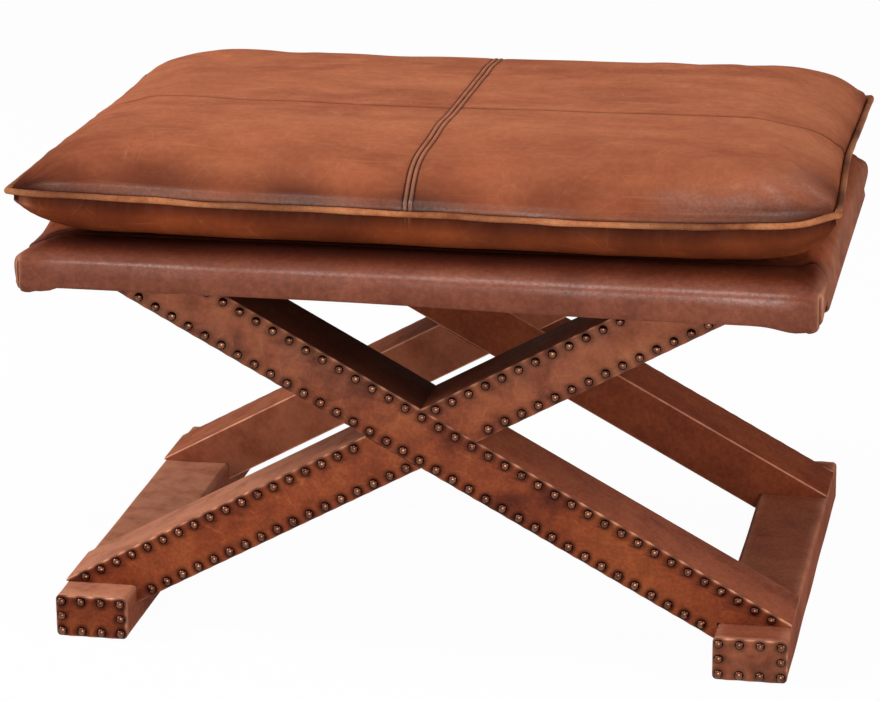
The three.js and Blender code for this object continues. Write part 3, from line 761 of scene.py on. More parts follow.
def addRunner(side, isRight):
    name = side + "_runner_wrap"
    low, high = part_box(name)
    middle = (low + high) / 2
    width, height = high.x - low.x, high.z - low.z
    outer = roundedLoop(width, height, runner["corner"])
    thick = leg["leather"]
    inner = roundedLoop(width - 2 * thick, height - 2 * thick, runner["corner"] - thick)
    stations = np.linspace(low.y, high.y, math.ceil((high.y - low.y) / runner["spacing"]) + 1)
    grids = []
    for loop in (outer, inner):
        grid = np.zeros((len(stations), len(loop), 3))
        grid[..., 0] = middle.x + loop[None, :, 0]
        grid[..., 1] = stations[:, None]
        grid[..., 2] = middle.z + loop[None, :, 1]
        grids.append(grid)
    skin = grids[0]
    fromMiddle = skin - np.array([middle.x, 0, middle.z])
    outward = fromMiddle * (1, 0, 1)
    outward /= np.linalg.norm(outward, axis=-1, keepdims=True)
    fade = smoothStep(np.minimum(skin[..., 1] - low.y, high.y - skin[..., 1]), 0.0, 0.02)
    amount = runner["uneven"] * bumps(skin, 0.05, 11 + isRight) * fade
    amount = np.where(fromMiddle[..., 2] < -height / 2 + 0.001, 0.0, amount)
    skin += outward * amount[..., None]
    rows, columns = skin.shape[:2]
    count = rows * columns
    faces = bothSides(rows, columns, closeColumns=True)
    for i in (0, rows - 1):
        for j in range(columns):
            a, b = i * columns + j, i * columns + (j + 1) % columns
            faces.append([a, b, b + count, a + count])
    atEnd = np.minimum(skin[..., 1] - low.y, high.y - skin[..., 1])
    rub = 0.5 * bell(atEnd, 0, 0.0018)
    cornerShare = smoothStep(np.hypot(fromMiddle[..., 0] / width, fromMiddle[..., 2] / height), 0.6, 0.7)
    rub = np.maximum(rub, 0.25 * cornerShare)
    if not isRight:                      # paler on top: painted light from the left
        rub = np.maximum(rub, 0.36 * smoothStep(fromMiddle[..., 2], height / 2 - 0.006, height / 2 - 0.002))
    values = {"rub": np.concatenate([rub.ravel(), 0 * rub.ravel()]), "wax": np.zeros(2 * count)}
    points = np.concatenate([grid.reshape(-1, 3) for grid in grids])
    obj = meshObject(side + "_runner_leather", points, faces, leathers["base_hide"], values)
    tidyMesh(obj)
    dress(obj, "stool", "base_leather", name)
    for isRear in (False, True):
        addCap(side, isRear, middle, width, height)


def addCap(side, isRear, middle, width, height):
    name = "%s_runner_%s_cap" % (side, "rear" if isRear else "front")
    halfX, halfZ = width / 2, height / 2
    radius = runner["corner"]
    xs, zs = np.array(edgeRows(halfX)), np.array(edgeRows(halfZ))
    extra = np.arange(-halfX + 0.02, halfX - 0.02, relief["step"] * 1.5)
    xs = np.array(sorted(set(np.round(np.concatenate([xs, extra]), 6))))
    x, z = np.meshgrid(xs, zs, indexing="ij")

    def pastCorner(x, z):
        return np.maximum(np.stack([abs(x) - (halfX - radius), abs(z) - (halfZ - radius)], -1), 0)

    # The square corners of the grid are drawn in to round ones
    over = pastCorner(x, z)
    reach = np.hypot(over[..., 0], over[..., 1])
    pull = np.where(reach > 0, over.max(-1) / np.maximum(reach, 1e-9), 1.0)
    x = np.sign(x) * np.where(over[..., 0] > 0, halfX - radius + over[..., 0] * pull, abs(x))
    z = np.sign(z) * np.where(over[..., 1] > 0, halfZ - radius + over[..., 1] * pull, abs(z))
    nails = []
    capX, capZ = halfX - nail["capInset"], halfZ - nail["capInset"]
    for column in range(nail["capColumns"]):
        place = capX * (2 * column / (nail["capColumns"] - 1) - 1)
        atSide = column in (0, nail["capColumns"] - 1)
        nails += [(place, dz) for dz in ((-capZ, 0.0, capZ) if atSide else (-capZ, capZ))]
    over = pastCorner(x, z)
    inCorner = (over > 0).all(-1)
    edge = np.minimum(halfX - abs(x), halfZ - abs(z))
    edge = np.where(inCorner, radius - np.hypot(over[..., 0], over[..., 1]), edge)
    nearX = halfX - abs(x) < halfZ - abs(z)
    away = np.stack([np.where(nearX, np.sign(x), 0.0), np.where(nearX, 0.0, np.sign(z))], -1)
    cornerAway = over * np.stack([np.sign(x), np.sign(z)], -1)
    cornerAway /= np.maximum(np.linalg.norm(cornerAway, axis=-1, keepdims=True), 1e-9)
    away = np.where(inCorner[..., None], cornerAway, away)
    flat = np.stack([x, z], -1)
    foot = flat + away * edge[..., None]
    pitch = (capX * 2 / (nail["capColumns"] - 1) + capZ) / 2
    height3, outward, wax, rub = nailedRelief(flat, foot, edge, nails, nail["capInset"], pitch)
    # painted shade on the left caps, painted light on the right ones
    if side == "left":
        wax = np.minimum(wax + 0.12, 1.0)
    else:
        rub = np.maximum(rub, 0.14)
    flat = flat + away * outward[..., None]
    capFace = -(runnerHigh.y + leg["gap"] + leg["leather"])
    sign = -1 if isRear else 1
    points = np.zeros((2,) + x.shape + (3,))
    points[..., 0] = flat[..., 0]
    points[0, ..., 1] = capFace - height3 - relief["uneven"] * bumps(np.stack([x, z, z * 0], -1), 0.02, 9)
    points[1, ..., 1] = capFace + leg["leather"]
    points[..., 2] = np.maximum(middle.z + flat[..., 1], 0.0)
    points = turned(points, isRear)
    points[..., 0] += middle.x
    body, faces = closedSheet(points[0], points[1])
    values = twice(wax=wax, rub=rub, tan=np.full_like(wax, 0.5))
    obj = meshObject(name + "_leather", body, faces, leathers["nailed_hide"], values)
    tidyMesh(obj)
    dress(obj, "stool", "nailed_leather", name)
    for dx, dz in nails:
        nailPlaces.append((np.array([middle.x + sign * dx, sign * capFace, middle.z + dz]), (0.0, -sign, 0.0)))


addRunner("left", False)
addRunner("right", True)
print("runners: %d nails in all" % len(nailPlaces))


# Nails, by geometry nodes: one dome for each place, each a little askew

nailInputs = {"Diameter": nail["diameter"], "Rise": nail["rise"], "Tilt": nail["tilt"],
              "Segments": nail["segments"], "Rings": nail["rings"], "Seed": nail["seed"]}


def growingTree(name, inputs):
    sockets = {"Geometry": "Geometry", **inputs, "Material": "Material"}
    return newGroup(name, "GeometryNodeTree", sockets, {"Geometry": "Geometry"})


def ball(tree, given, radius):
    return addNode(tree, "GeometryNodeMeshUVSphere", Segments=given["Segments"], Rings=given["Rings"],
                   Radius=radius).outputs["Mesh"]


def outwardAttribute(tree):
    kind = {"data_type": "FLOAT_VECTOR"}
    return addNode(tree, "GeometryNodeInputNamedAttribute", kind, Name="outward").outputs["Attribute"]


def plant(tree, given, result, **inputs):
    # One instance at each point, made real, smooth and dressed
    placed = addNode(tree, "GeometryNodeInstanceOnPoints", **inputs)
    real = addNode(tree, "GeometryNodeRealizeInstances", Geometry=placed.outputs[0])
    smooth = addNode(tree, "GeometryNodeSetShadeSmooth", Geometry=real.outputs[0])
    dressed = addNode(tree, "GeometryNodeSetMaterial", Geometry=smooth.outputs[0], Material=given["Material"])
    feedNode(tree, result, Geometry=dressed.outputs[0])
    return tree


def makeNailTree():
    tree, given, result = growingTree("dome_nails", nailInputs)
    place = addNode(tree, "ShaderNodeSeparateXYZ", Vector=addNode(tree, "GeometryNodeInputPosition").outputs[0])
    radius = times(tree, given["Diameter"], 0.5)
    above = calculate(tree, "MAXIMUM", place.outputs["Z"], 0.0)
    dome = addNode(tree, "ShaderNodeCombineXYZ", X=times(tree, place.outputs["X"], radius),
                   Y=times(tree, place.outputs["Y"], radius), Z=times(tree, above, given["Rise"]))
    known = addNode(tree, "GeometryNodeStoreNamedAttribute", {"data_type": "FLOAT", "domain": "POINT"},
                    Geometry=ball(tree, given, 1.0), Name="dome", Value=above)
    shaped = addNode(tree, "GeometryNodeSetPosition", Geometry=known.outputs[0], Position=dome.outputs[0])
    facing = addNode(tree, "FunctionNodeAlignRotationToVector", {"axis": "Z"}, Vector=outwardAttribute(tree))
    spread = addNode(tree, "FunctionNodeRandomValue", {"data_type": "FLOAT_VECTOR"}, Seed=given["Seed"],
                     Min=(-1.0, -1.0, -1.0), Max=(1.0, 1.0, 1.0))
    askew = vectorMath(tree, "SCALE", spread.outputs[0], None, None, given["Tilt"])
    lean = addNode(tree, "FunctionNodeEulerToRotation", Euler=askew)
    turn = addNode(tree, "FunctionNodeRotateRotation", {"rotation_space": "LOCAL"}, facing.outputs[0], lean.outputs[0])
    return plant(tree, given, result, Points=given["Geometry"], Instance=shaped.outputs[0], Rotation=turn.outputs[0])


def grow(name, source, tree, values):
    # Runs a geometry tree on a source mesh and keeps the result as a plain mesh
    modifier = source.modifiers.new("grow", "NODES")
    modifier.node_group = tree
    sockets = {item.name: item.identifier for item in tree.interface.items_tree
               if item.item_type == "SOCKET" and item.in_out == "INPUT"}
    for label, value in values.items():
        modifier[sockets[label]] = value
    mesh = evaluatedMesh(source)
    mesh.name = name
    obj = addObject(name, mesh)
    source.modifiers.remove(modifier)
    bpy.data.objects.remove(source)
    return obj


def addNailHeads():
    places, facing = [np.array(part) for part in zip(*nailPlaces)]
    sunk = relief["dimple"] * 0.75
    seats = meshObject("nail_seats", places - facing * sunk, [], nailMetal)
    addLayer(seats.data, "outward", facing, "FLOAT_VECTOR", "vector")
    heads = grow("nail_heads", seats, makeNailTree(), {**nailInputs, "Material": nailMetal})
    dress(heads, "stool", "nailed_leather")


addNailHeads()
print("nails: %d heads" % len(nailPlaces))

# Seat. The profiles are the frame's own: how far in from the side, as a share of the reach, and how
# high, as a share of the thickness.
seat = {
    "reach": 0.095, "thickness": 0.0425, "railDrop": 0.0043, "rollRise": 0.01, "corner": 0.02,
    "rollFade": 0.04, "leather": 0.0014, "seamSetback": 0.056, "seamGap": 0.0003, "spacing": 0.007,
    "profileSteps": 46, "cornerSteps": 9, "seamRound": 0.0034, "seamDepth": 0.0022, "lip": 0.004, "uneven": 0.0007,
    "lateRoll": 0.07, "pleats": (0.3825, -0.3865), "pleatDepth": 0.0013,
}
# How the cover has settled: the front edge sags to the right and at its corners, the corners bag out
settling = {"sagRight": 0.0038, "sagCorner": 0.0052, "sagLeft": 0.004, "bagLeft": 0.0065, "drawIn": 0.0028}
# Where the cover gets painted shadow under the cushion, where it is tanned and where it is polished, as heights over
# the underside
seatWear = {"shadePlace": 0.0395, "shadeSpread": 0.0068, "tanned": (0.031, 0.037), "polishPlace": 0.028,
            "polishSpread": 0.011}
longEdgeShares = [
    (0.63, 0), (0.32, 0), (0.2, 0), (0.065, 0), (0.016, 0.05), (0, 0.18),
    (0.003, 0.43), (0.026, 0.6), (0.085, 0.7), (0.22, 0.81), (0.5, 0.96), (1, 1),
]
endEdgeShares = [
    (0.63, 0.076), (0.32, 0.076), (0.27, 0), (0.11, 0), (0.045, 0.09), (0.012, 0.25),
    (0, 0.44), (0.016, 0.61), (0.063, 0.76), (0.17, 0.92), (0.37, 1), (1, 0.824),
]
bandLow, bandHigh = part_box("seat_front_band")
panelLow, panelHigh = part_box("seat_centre_panel")
halfSeat = bandHigh.x
halfSeatDepth = -bandLow.y
halfPanel = panelHigh.x
underside = panelLow.z + seat["railDrop"]
seatTop = underside + seat["thickness"]
seamPlane = halfSeatDepth - seat["seamSetback"]


def smoothLine(points, count):
    # A Catmull-Rom curve through the points
    p = np.asarray(points, float)
    p = np.vstack([2 * p[0] - p[1], p, 2 * p[-1] - p[-2]])
    place = np.linspace(0, len(p) - 3, count)
    k = np.minimum(place.astype(int), len(p) - 4)
    t = (place - k)[:, None]
    a, b, c, d = p[k], p[k + 1], p[k + 2], p[k + 3]
    return 0.5 * (2 * b + (c - a) * t + (2 * a - 5 * b + 4 * c - d) * t ** 2
                  + (3 * b - a - 3 * c + d) * t ** 3), place


def seatSkin(halfLength):
    # The outer form as rings from the underside out and in over the top, and a grid inside the last
    endRise = seat["thickness"] + seat["railDrop"] + seat["rollRise"]
    longLine, place = smoothLine(longEdgeShares, seat["profileSteps"])
    endLine, _ = smoothLine(endEdgeShares, seat["profileSteps"])
    upper = smoothStep(place, 4.6, 6.4)
    xCount = math.ceil(2 * halfLength / seat["spacing"])
    yCount = math.ceil(2 * halfSeatDepth / seat["spacing"])
    rings = []
    for k in range(len(place)):
        inLong, inEnd = longLine[k, 0] * seat["reach"], endLine[k, 0] * seat["reach"]
        zLong = underside + longLine[k, 1] * seat["thickness"]
        zEnd = underside - seat["railDrop"] + endLine[k, 1] * endRise
        radius = max(seat["corner"] - max(inLong, inEnd), seat["corner"] * 0.2)
        radius *= 1 - smoothStep(place[k], place[-1] - 1.0, place[-1])
        cx, cy = halfLength - inEnd - radius, halfSeatDepth - inLong - radius
        ring = []
        for quarter, (sx, sy) in enumerate([(1, 1), (-1, 1), (-1, -1), (1, -1)]):
            for step in range(seat["cornerSteps"] + 1):
                angle = (quarter + step / seat["cornerSteps"]) * math.pi / 2
                c, s = math.cos(angle), math.sin(angle)
                lower = zEnd + (zLong - zEnd) * s * s
                ring.append((sx * cx + radius * c, sy * cy + radius * s, lower + (zLong - lower) * upper[k]))
            if quarter % 2 == 0:           # along a long side
                for x in np.linspace(sx * cx, -sx * cx, xCount + 1)[1:-1]:
                    ring.append((x, sy * (cy + radius), zLong))
            else:                          # across an end, where the roll rises from the corners
                for y in np.linspace(sy * cy, -sy * cy, yCount + 1)[1:-1]:
                    late = seat["lateRoll"] if sx < 0 and y < 0 else 0.0
                    rolled = smoothStep(cy - abs(y), late, late + seat["rollFade"])
                    zCorner = zEnd + (zLong - zEnd) * upper[k]
                    ring.append((sx * (cx + radius), y, zCorner + (zEnd - zCorner) * rolled))
        rings.append(ring)
    rings = np.array(rings)
    rows, columns = rings.shape[:2]
    faces = gridFaces(rows, columns, closeColumns=True)
    xs = np.linspace(cx, -cx, xCount + 1)
    ys = np.linspace(cy, -cy, yCount + 1)
    inner = np.zeros((len(xs), len(ys), 3))
    inner[..., 0], inner[..., 1] = xs[:, None], ys[None, :]
    rise = (zEnd - zLong) * smoothStep(cy - abs(ys), 0.0, seat["rollFade"])
    inner[..., 2] = zLong + rise[None, :]
    faces += gridFaces(len(xs), len(ys), start=rows * columns)
    return np.concatenate([rings.reshape(-1, 3), inner.reshape(-1, 3)]), faces


def settled(points, proud):
    # Proud is how far this panel stands out past the others at its ends; the right end is drawn in
    x, y, z = points.T
    up = z - underside
    lip = smoothStep(-y, 0.236, 0.25) * (1 - smoothStep(up, 0.004, 0.024))
    sag = settling["sagRight"] * smoothStep(x, -0.1, 0.22) + settling["sagLeft"] * smoothStep(-x, 0.346, 0.358)
    sag += settling["sagCorner"] * bell(x, 0.36, 0.02)
    atCorner = smoothStep(-y, 0.19, 0.24)
    drawn = proud + settling["drawIn"] * bell(y, -0.03, 0.15)
    bag = -drawn * smoothStep(x, 0.3, 0.38) * smoothStep(up, -0.002, 0.011)
    bag -= settling["bagLeft"] * smoothStep(-x, 0.345, 0.378) * (1 - smoothStep(up, 0.026, 0.036)) * atCorner
    return np.stack([x + bag, y, z - sag * lip], -1)


def addSeatPanel(name, node, halfLength, ySpan):
    points, faces = seatSkin(halfLength)
    points = settled(points, halfLength - halfSeat)
    obj = meshObject(name, points, faces, leathers["seat_hide"])
    bm = openMesh(obj.data, 2e-5, 1e-6)
    for limit, way in ((ySpan[0], 1), (ySpan[1], -1)):
        for inside in (0.0, 0.0007, 0.0016, 0.003):
            cutAt(bm, (0, limit + way * inside, 0), (0, -way, 0), inside == 0.0)
    pleats = seat["pleats"] if node == "seat_front_band" else ()
    for place in pleats:
        for offset in (-0.003, -0.0015, -0.0007, 0.0, 0.0007, 0.0015, 0.003):
            cutAt(bm, (place + offset, 0, 0), (1, 0, 0))
    if sum(v.normal.z for v in bm.verts if v.co.z > seatTop - 0.002) < 0:
        bmesh.ops.reverse_faces(bm, faces=bm.faces)
    bm.normal_update()
    cut = [e for e in bm.edges if e.is_boundary
           and any(all(abs(v.co.y - limit) < 1e-5 for v in e.verts) for limit in ySpan)]
    rub, wax, polish, tan = [bm.verts.layers.float.new(label) for label in ("rub", "wax", "polish", "tan")]
    moved = {}
    spots = np.array([v.co for v in bm.verts])
    lumps = bumps(spots * (1.0, 1.6, 1.0), 0.11, 21)
    small = bumps(spots * (0.6, 1.3, 1.3), 0.045, 22)
    for k, vert in enumerate(bm.verts):
        fromCut = min(vert.co.y - ySpan[0], ySpan[1] - vert.co.y)
        tuck = 0.0
        if fromCut < seat["seamRound"]:
            share = 1 - fromCut / seat["seamRound"]
            depth = seat["seamDepth"] + (halfLength - halfSeat) * max(0.0, -vert.normal.x)
            tuck = depth * (1 - math.sqrt(max(0.0, 1 - share * share)))
        soft = 1.0 if vert.co.z > underside + 0.004 else 0.0
        swell = (lumps[k] * seat["uneven"] + small[k] * seat["uneven"] * 0.35) * soft
        moved[vert] = vert.normal * (swell - tuck)
        dark = (0.85 if vert.co.x > -0.33 else 0.4) * bell(max(fromCut, 0.0), 0, 0.0018)
        # painted shade, darker towards the left of the front face
        dark += 0.2 * smoothStep(-vert.co.x, 0.1, 0.36) * smoothStep(-vert.co.y, 0.24, 0.256)
        up = vert.co.z - underside
        for place in pleats:
            off = abs(vert.co.x - place)
            inPleat = smoothStep(-vert.co.y, 0.225, 0.235) * (1 - smoothStep(up, 0.024, 0.03))
            moved[vert] -= vert.normal * seat["pleatDepth"] * bell(off, 0, 0.0009) * inPleat
            # the pleats: painted shade in the fold, painted highlights beside it and on the ridge above it
            dark += 0.8 * bell(off, 0, 0.0008) * inPleat
            vert[rub] = max(vert[rub], 0.6 * bell(off, 0.002, 0.0009) * inPleat,
                            0.5 * bell(off, 0, 0.003) * bell(up, 0.027, 0.0025) * (vert.co.y < -0.2))
        # painted shadow where the cushion overhangs the seat's top
        underCushion = bell(up, seatWear["shadePlace"], seatWear["shadeSpread"]) * (abs(vert.co.y) > 0.19)
        dark += underCushion * (1.0 - 0.3 * smoothStep(vert.co.x, 0.1, 0.3))
        vert[tan] = smoothStep(up, *seatWear["tanned"])
        # painted light on the right end
        vert[rub] = max(vert[rub], 0.12 * smoothStep(vert.co.x, 0.372, 0.382))
        vert[wax] = min(dark, 1.0)
        facing = smoothStep(abs(vert.co.y), 0.225, 0.245) * (1 - smoothStep(abs(vert.co.x), 0.34, 0.375))
        ridge = bell(up, seatWear["polishPlace"], seatWear["polishSpread"])
        vert[polish] = min(1.0, (0.75 + 0.35 * small[k]) * ridge * facing)
    for vert, step in moved.items():
        vert.co += step
    old = set(bm.verts)
    lip = bmesh.ops.extrude_edge_only(bm, edges=cut)["geom"]
    for vert in [part for part in lip if isinstance(part, bmesh.types.BMVert)]:
        root = next(e.other_vert(vert) for e in vert.link_edges if e.other_vert(vert) in old)
        vert.co -= root.normal * seat["lip"]
    bm.to_mesh(obj.data)
    bm.free()
    shell = obj.modifiers.new("leather", "SOLIDIFY")
    shell.thickness = seat["leather"]
    shell.offset = -1.0
    mesh = evaluatedMesh(obj)
    obj.modifiers.remove(shell)
    obj.data = mesh
    mesh.name = name
    tidyMesh(obj, sharp=60)
    dress(obj, "stool", "seat_leather", node)


farAway = halfSeatDepth * 2
halfSeam = seat["seamGap"] / 2
addSeatPanel("seat_centre_leather", "seat_centre_panel", halfPanel, (-seamPlane + halfSeam, seamPlane - halfSeam))
addSeatPanel("seat_front_leather", "seat_front_band", halfSeat, (-farAway, -seamPlane - halfSeam))
addSeatPanel("seat_rear_leather", "seat_rear_band", halfSeat, (seamPlane + halfSeam, farAway))


def addSeatFoam():
    # The foam under the cover: the frame's own form, welded, eased and drawn in from the settled cover
    obj = nodeCopy("seat_foam", "seat_pad", foam)
    tidyMesh(obj, weld=1e-5, sharp=50)
    lowest = min(v.co.z for v in obj.data.vertices)
    for vert in obj.data.vertices:
        x, y, z = vert.co
        vert.co = (x * 0.96 - 0.002, y * 0.983, lowest + (z - lowest) * 0.8)
    ease = obj.modifiers.new("ease", "BEVEL")
    ease.width, ease.segments, ease.limit_method = 0.0008, 2, "ANGLE"
    dress(obj, "stool", "foam", "seat_pad")


addSeatFoam()
print("seat: three panels over foam")

# Cushion. Its surfaces run over shares of the half length and the half depth; the piped seam is at 1.
cushion = {
    "shift": -0.003, "thickness": 0.0925, "seamRise": 0.0405, "endLift": 0.0125, "endPower": 4,
    "longDrawIn": 0.009, "leather": 0.0014, "piping": 0.0064, "gap": 0.0003,
    "corner": 0.006, "cornerSharpness": 26, "spacing": 0.0046,
    "crown": {"length": 11, "front": 5.5, "rear": 22, "edge": 0.68},
    "base": {"length": 7.5, "front": 28, "rear": 28, "edge": 0.38},
    "rightSide": {"front": 0.0015, "middle": -0.0075, "rear": -0.0047, "frontEar": 0.0035, "rearEar": 0.0015},
    "leftSide": {"front": 0.0022, "rear": -0.005, "drawIn": 0.009},
    # where the seam dips or rises: place along and across, spread along and across, height
    "seamHills": [(0.45, -1, 0.45, 0.8, -0.0028), (-1, -1, 0.14, 0.4, -0.0055), (1, -1, 0.055, 0.12, 0.0058),
                  (-1, 1, 0.3, 0.6, -0.005), (1, 1, 0.2, 0.3, 0.002)],
    "crownHills": [(0.65, 0.9, 0.6, 0.9, 0.0038), (-0.95, 1, 0.25, 0.8, -0.0015), (1, 1, 0.14, 0.4, 0.006),
                   (-0.3, 0.9, 0.6, 0.5, 0.0016)],
}
stuffing = {"grid": 0.0065, "frames": 20, "cap": 0.0035, "start": 0.0016, "hold": 0.05, "clear": 0.0006, "blur": 6}
fabric = {
    "quality": 6, "mass": 0.3, "tension_stiffness": 22.0, "compression_stiffness": 22.0, "shear_stiffness": 9.0,
    "bending_stiffness": 3.0, "vertex_group_mass": "held", "pin_stiffness": 1.0, "shrink_min": -0.012,
    "use_pressure": True, "uniform_pressure_force": 4.0,
}
longSeam = {"rows": 0.005, "valley": 0.0007, "valleySpread": 0.008, "ridge": 0.0009, "groove": 0.0012,
            "offsets": (0.35, 0.8, 1.4, 2.2, 3.1, 3.9, 4.5, 5.0, 5.5, 6.1, 7.0, 8.4, 10.5, 13.5, 18.0)}
crossSeam = {"groove": 0.0014, "grooveSpread": 0.0013, "valley": 0.001, "valleySpread": 0.006,
             "offsets": (0.45, 0.95, 1.6, 2.6, 4.2, 6.8, 11.0)}
# dark marks where the painted shadow under the piping fades out; rollPlace and rollSpread place the painted highlight
# on the roll below it
crease = {"corners": 5, "depth": 0.0009, "bulge": 0.002, "bulgePlace": 0.009, "bulgeSpread": 0.005,
          "reach": 0.05, "seed": 41, "ripple": 0.0005, "rippleSize": 0.05, "tuck": 0.0024,
          "dark": (0.0086, 0.0102), "rollPlace": 0.0118, "rollSpread": 0.0014}
pipeLow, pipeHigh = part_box("cushion_piping")
halfCover = (pipeHigh.x - pipeLow.x) / 2 - cushion["piping"] - cushion["gap"]
halfCoverDepth = (pipeHigh.y - pipeLow.y) / 2 - cushion["piping"] - cushion["gap"]
cushionTop = seatTop + cushion["thickness"]
cushionSeam = seatTop + cushion["seamRise"]
cushionRest = seatTop + cushion["gap"]


def hills(s, t, places):
    return sum(height * np.exp(-((s - along) / wide) ** 2 - ((t - across) / deep) ** 2)
               for along, across, wide, deep, height in places)


def swell(s, t, form):
    nearSide = np.where(t < 0, abs(t) ** form["front"], abs(t) ** form["rear"])
    return ((1 - abs(s) ** form["length"]) * (1 - nearSide)) ** form["edge"]


def seamHeight(s, t):
    return cushionSeam + cushion["endLift"] * abs(s) ** cushion["endPower"] + hills(s, t, cushion["seamHills"])


def halfLengthAt(s, t):
    side = cushion["rightSide"]
    right = side["front"] + (side["middle"] - side["front"]) * smoothStep(t, -1, 0.1)
    right += (side["rear"] - side["middle"]) * smoothStep(t, 0, 1)
    right += side["frontEar"] * bell(1, -t, 0.06) + side["rearEar"] * bell(1, t, 0.08)
    side = cushion["leftSide"]
    left = side["front"] + (side["rear"] - side["front"]) * smoothStep(t, -1, 1) - side["drawIn"] * (1 - t * t)
    return halfCover + np.where(s < 0, left, right)


def cushionPlan(s, t, outside=0.0):
    ease = cushion["corner"] * (1 - math.sqrt(0.5)) * abs(s * t) ** cushion["cornerSharpness"]
    x = s * (halfLengthAt(s, t) + outside - ease)
    y = t * (halfCoverDepth + outside - cushion["longDrawIn"] * (1 - s * s) - ease)
    return x + cushion["shift"], y


def cushionSurface(s, t, isTop):
    x, y = cushionPlan(s, t)
    seam = seamHeight(s, t)
    if isTop:
        z = seam + (cushionTop - seam + hills(s, t, cushion["crownHills"])) * swell(s, t, cushion["crown"])
    else:
        z = seam - (seam - cushionRest) * swell(s, t, cushion["base"])
    return np.stack([x, y, z], -1)


# The two sewn seams, as shares; the sheared grid below follows them
def longSeamAt(t):
    return 0.004 + 0.008 * t - 0.0135 * smoothStep(-t, 0.5, 0.9)


def crossSeamAt(s):
    left, right = -0.098 * (1 - abs(s) ** 2.2), -0.082 * (1 - abs(s) ** 5)
    return left + (right - left) * smoothStep(s, -0.02, 0.02)


def crowded(place):
    # Even places to shares that crowd a little towards the sides, and back
    return np.sign(place) * (1 - (1 - abs(place)) ** 1.35)


def uncrowded(share):
    return np.sign(share) * (1 - (1 - abs(share)) ** (1 / 1.35))


def shearedShares(places, rows):
    s0, t0 = np.meshgrid(crowded(places), crowded(rows), indexing="ij")
    s = s0 + longSeamAt(t0) * bell(s0, 0, 0.25) * (1 - s0 ** 8)
    t = t0 + crossSeamAt(s0) * bell(t0, 0, 0.3) * (1 - t0 ** 8)
    return s, t


def finePlaces(half, offsets):
    # Even places with a band of close ones along the seam
    band = [0.0] + [sign * offset / 1000 / half for offset in offsets for sign in (-1, 1)]
    count = math.ceil(half / cushion["spacing"])
    even = [p for p in np.linspace(-1, 1, 2 * count + 1) if abs(crowded(p)) > max(band) * 1.15]
    return np.array(sorted(even + list(uncrowded(np.array(band)))))


def spreadOut(values, places):
    # Cubic interpolation of evenly placed values at other places, along the first axis
    count = len(values)
    at = (places + 1) / 2 * (count - 1)
    k = np.clip(at.astype(int), 0, count - 2)
    f = (at - k).reshape((-1,) + (1,) * (values.ndim - 1))
    before, after = values[np.maximum(k - 1, 0)], values[np.minimum(k + 2, count - 1)]
    a, b = values[k], values[k + 1]
    return a + 0.5 * f * (b - before + f * (2 * before - 5 * a + 4 * b - after + f * (3 * (a - b) + after - before)))


def gridNormals(points):
    along, across = np.gradient(points, axis=0), np.gradient(points, axis=1)
    normal = np.cross(along, across)
    return normal / np.maximum(np.linalg.norm(normal, axis=-1, keepdims=True), 1e-12)


def blurred(values, spread):
    # Smooths a grid of vectors along both of its axes
    reach = np.arange(-3 * spread, 3 * spread + 1)
    weights = np.exp(-(reach / spread) ** 2 / 2)
    weights /= weights.sum()
    for axis in (0, 1):
        count = values.shape[axis]
        margin = [(3 * spread, 3 * spread) if k == axis else (0, 0) for k in range(3)]
        wide = np.pad(values, margin, mode="edge")
        values = sum(w * np.take(wide, np.arange(k, k + count), axis) for k, w in enumerate(weights))
    return values


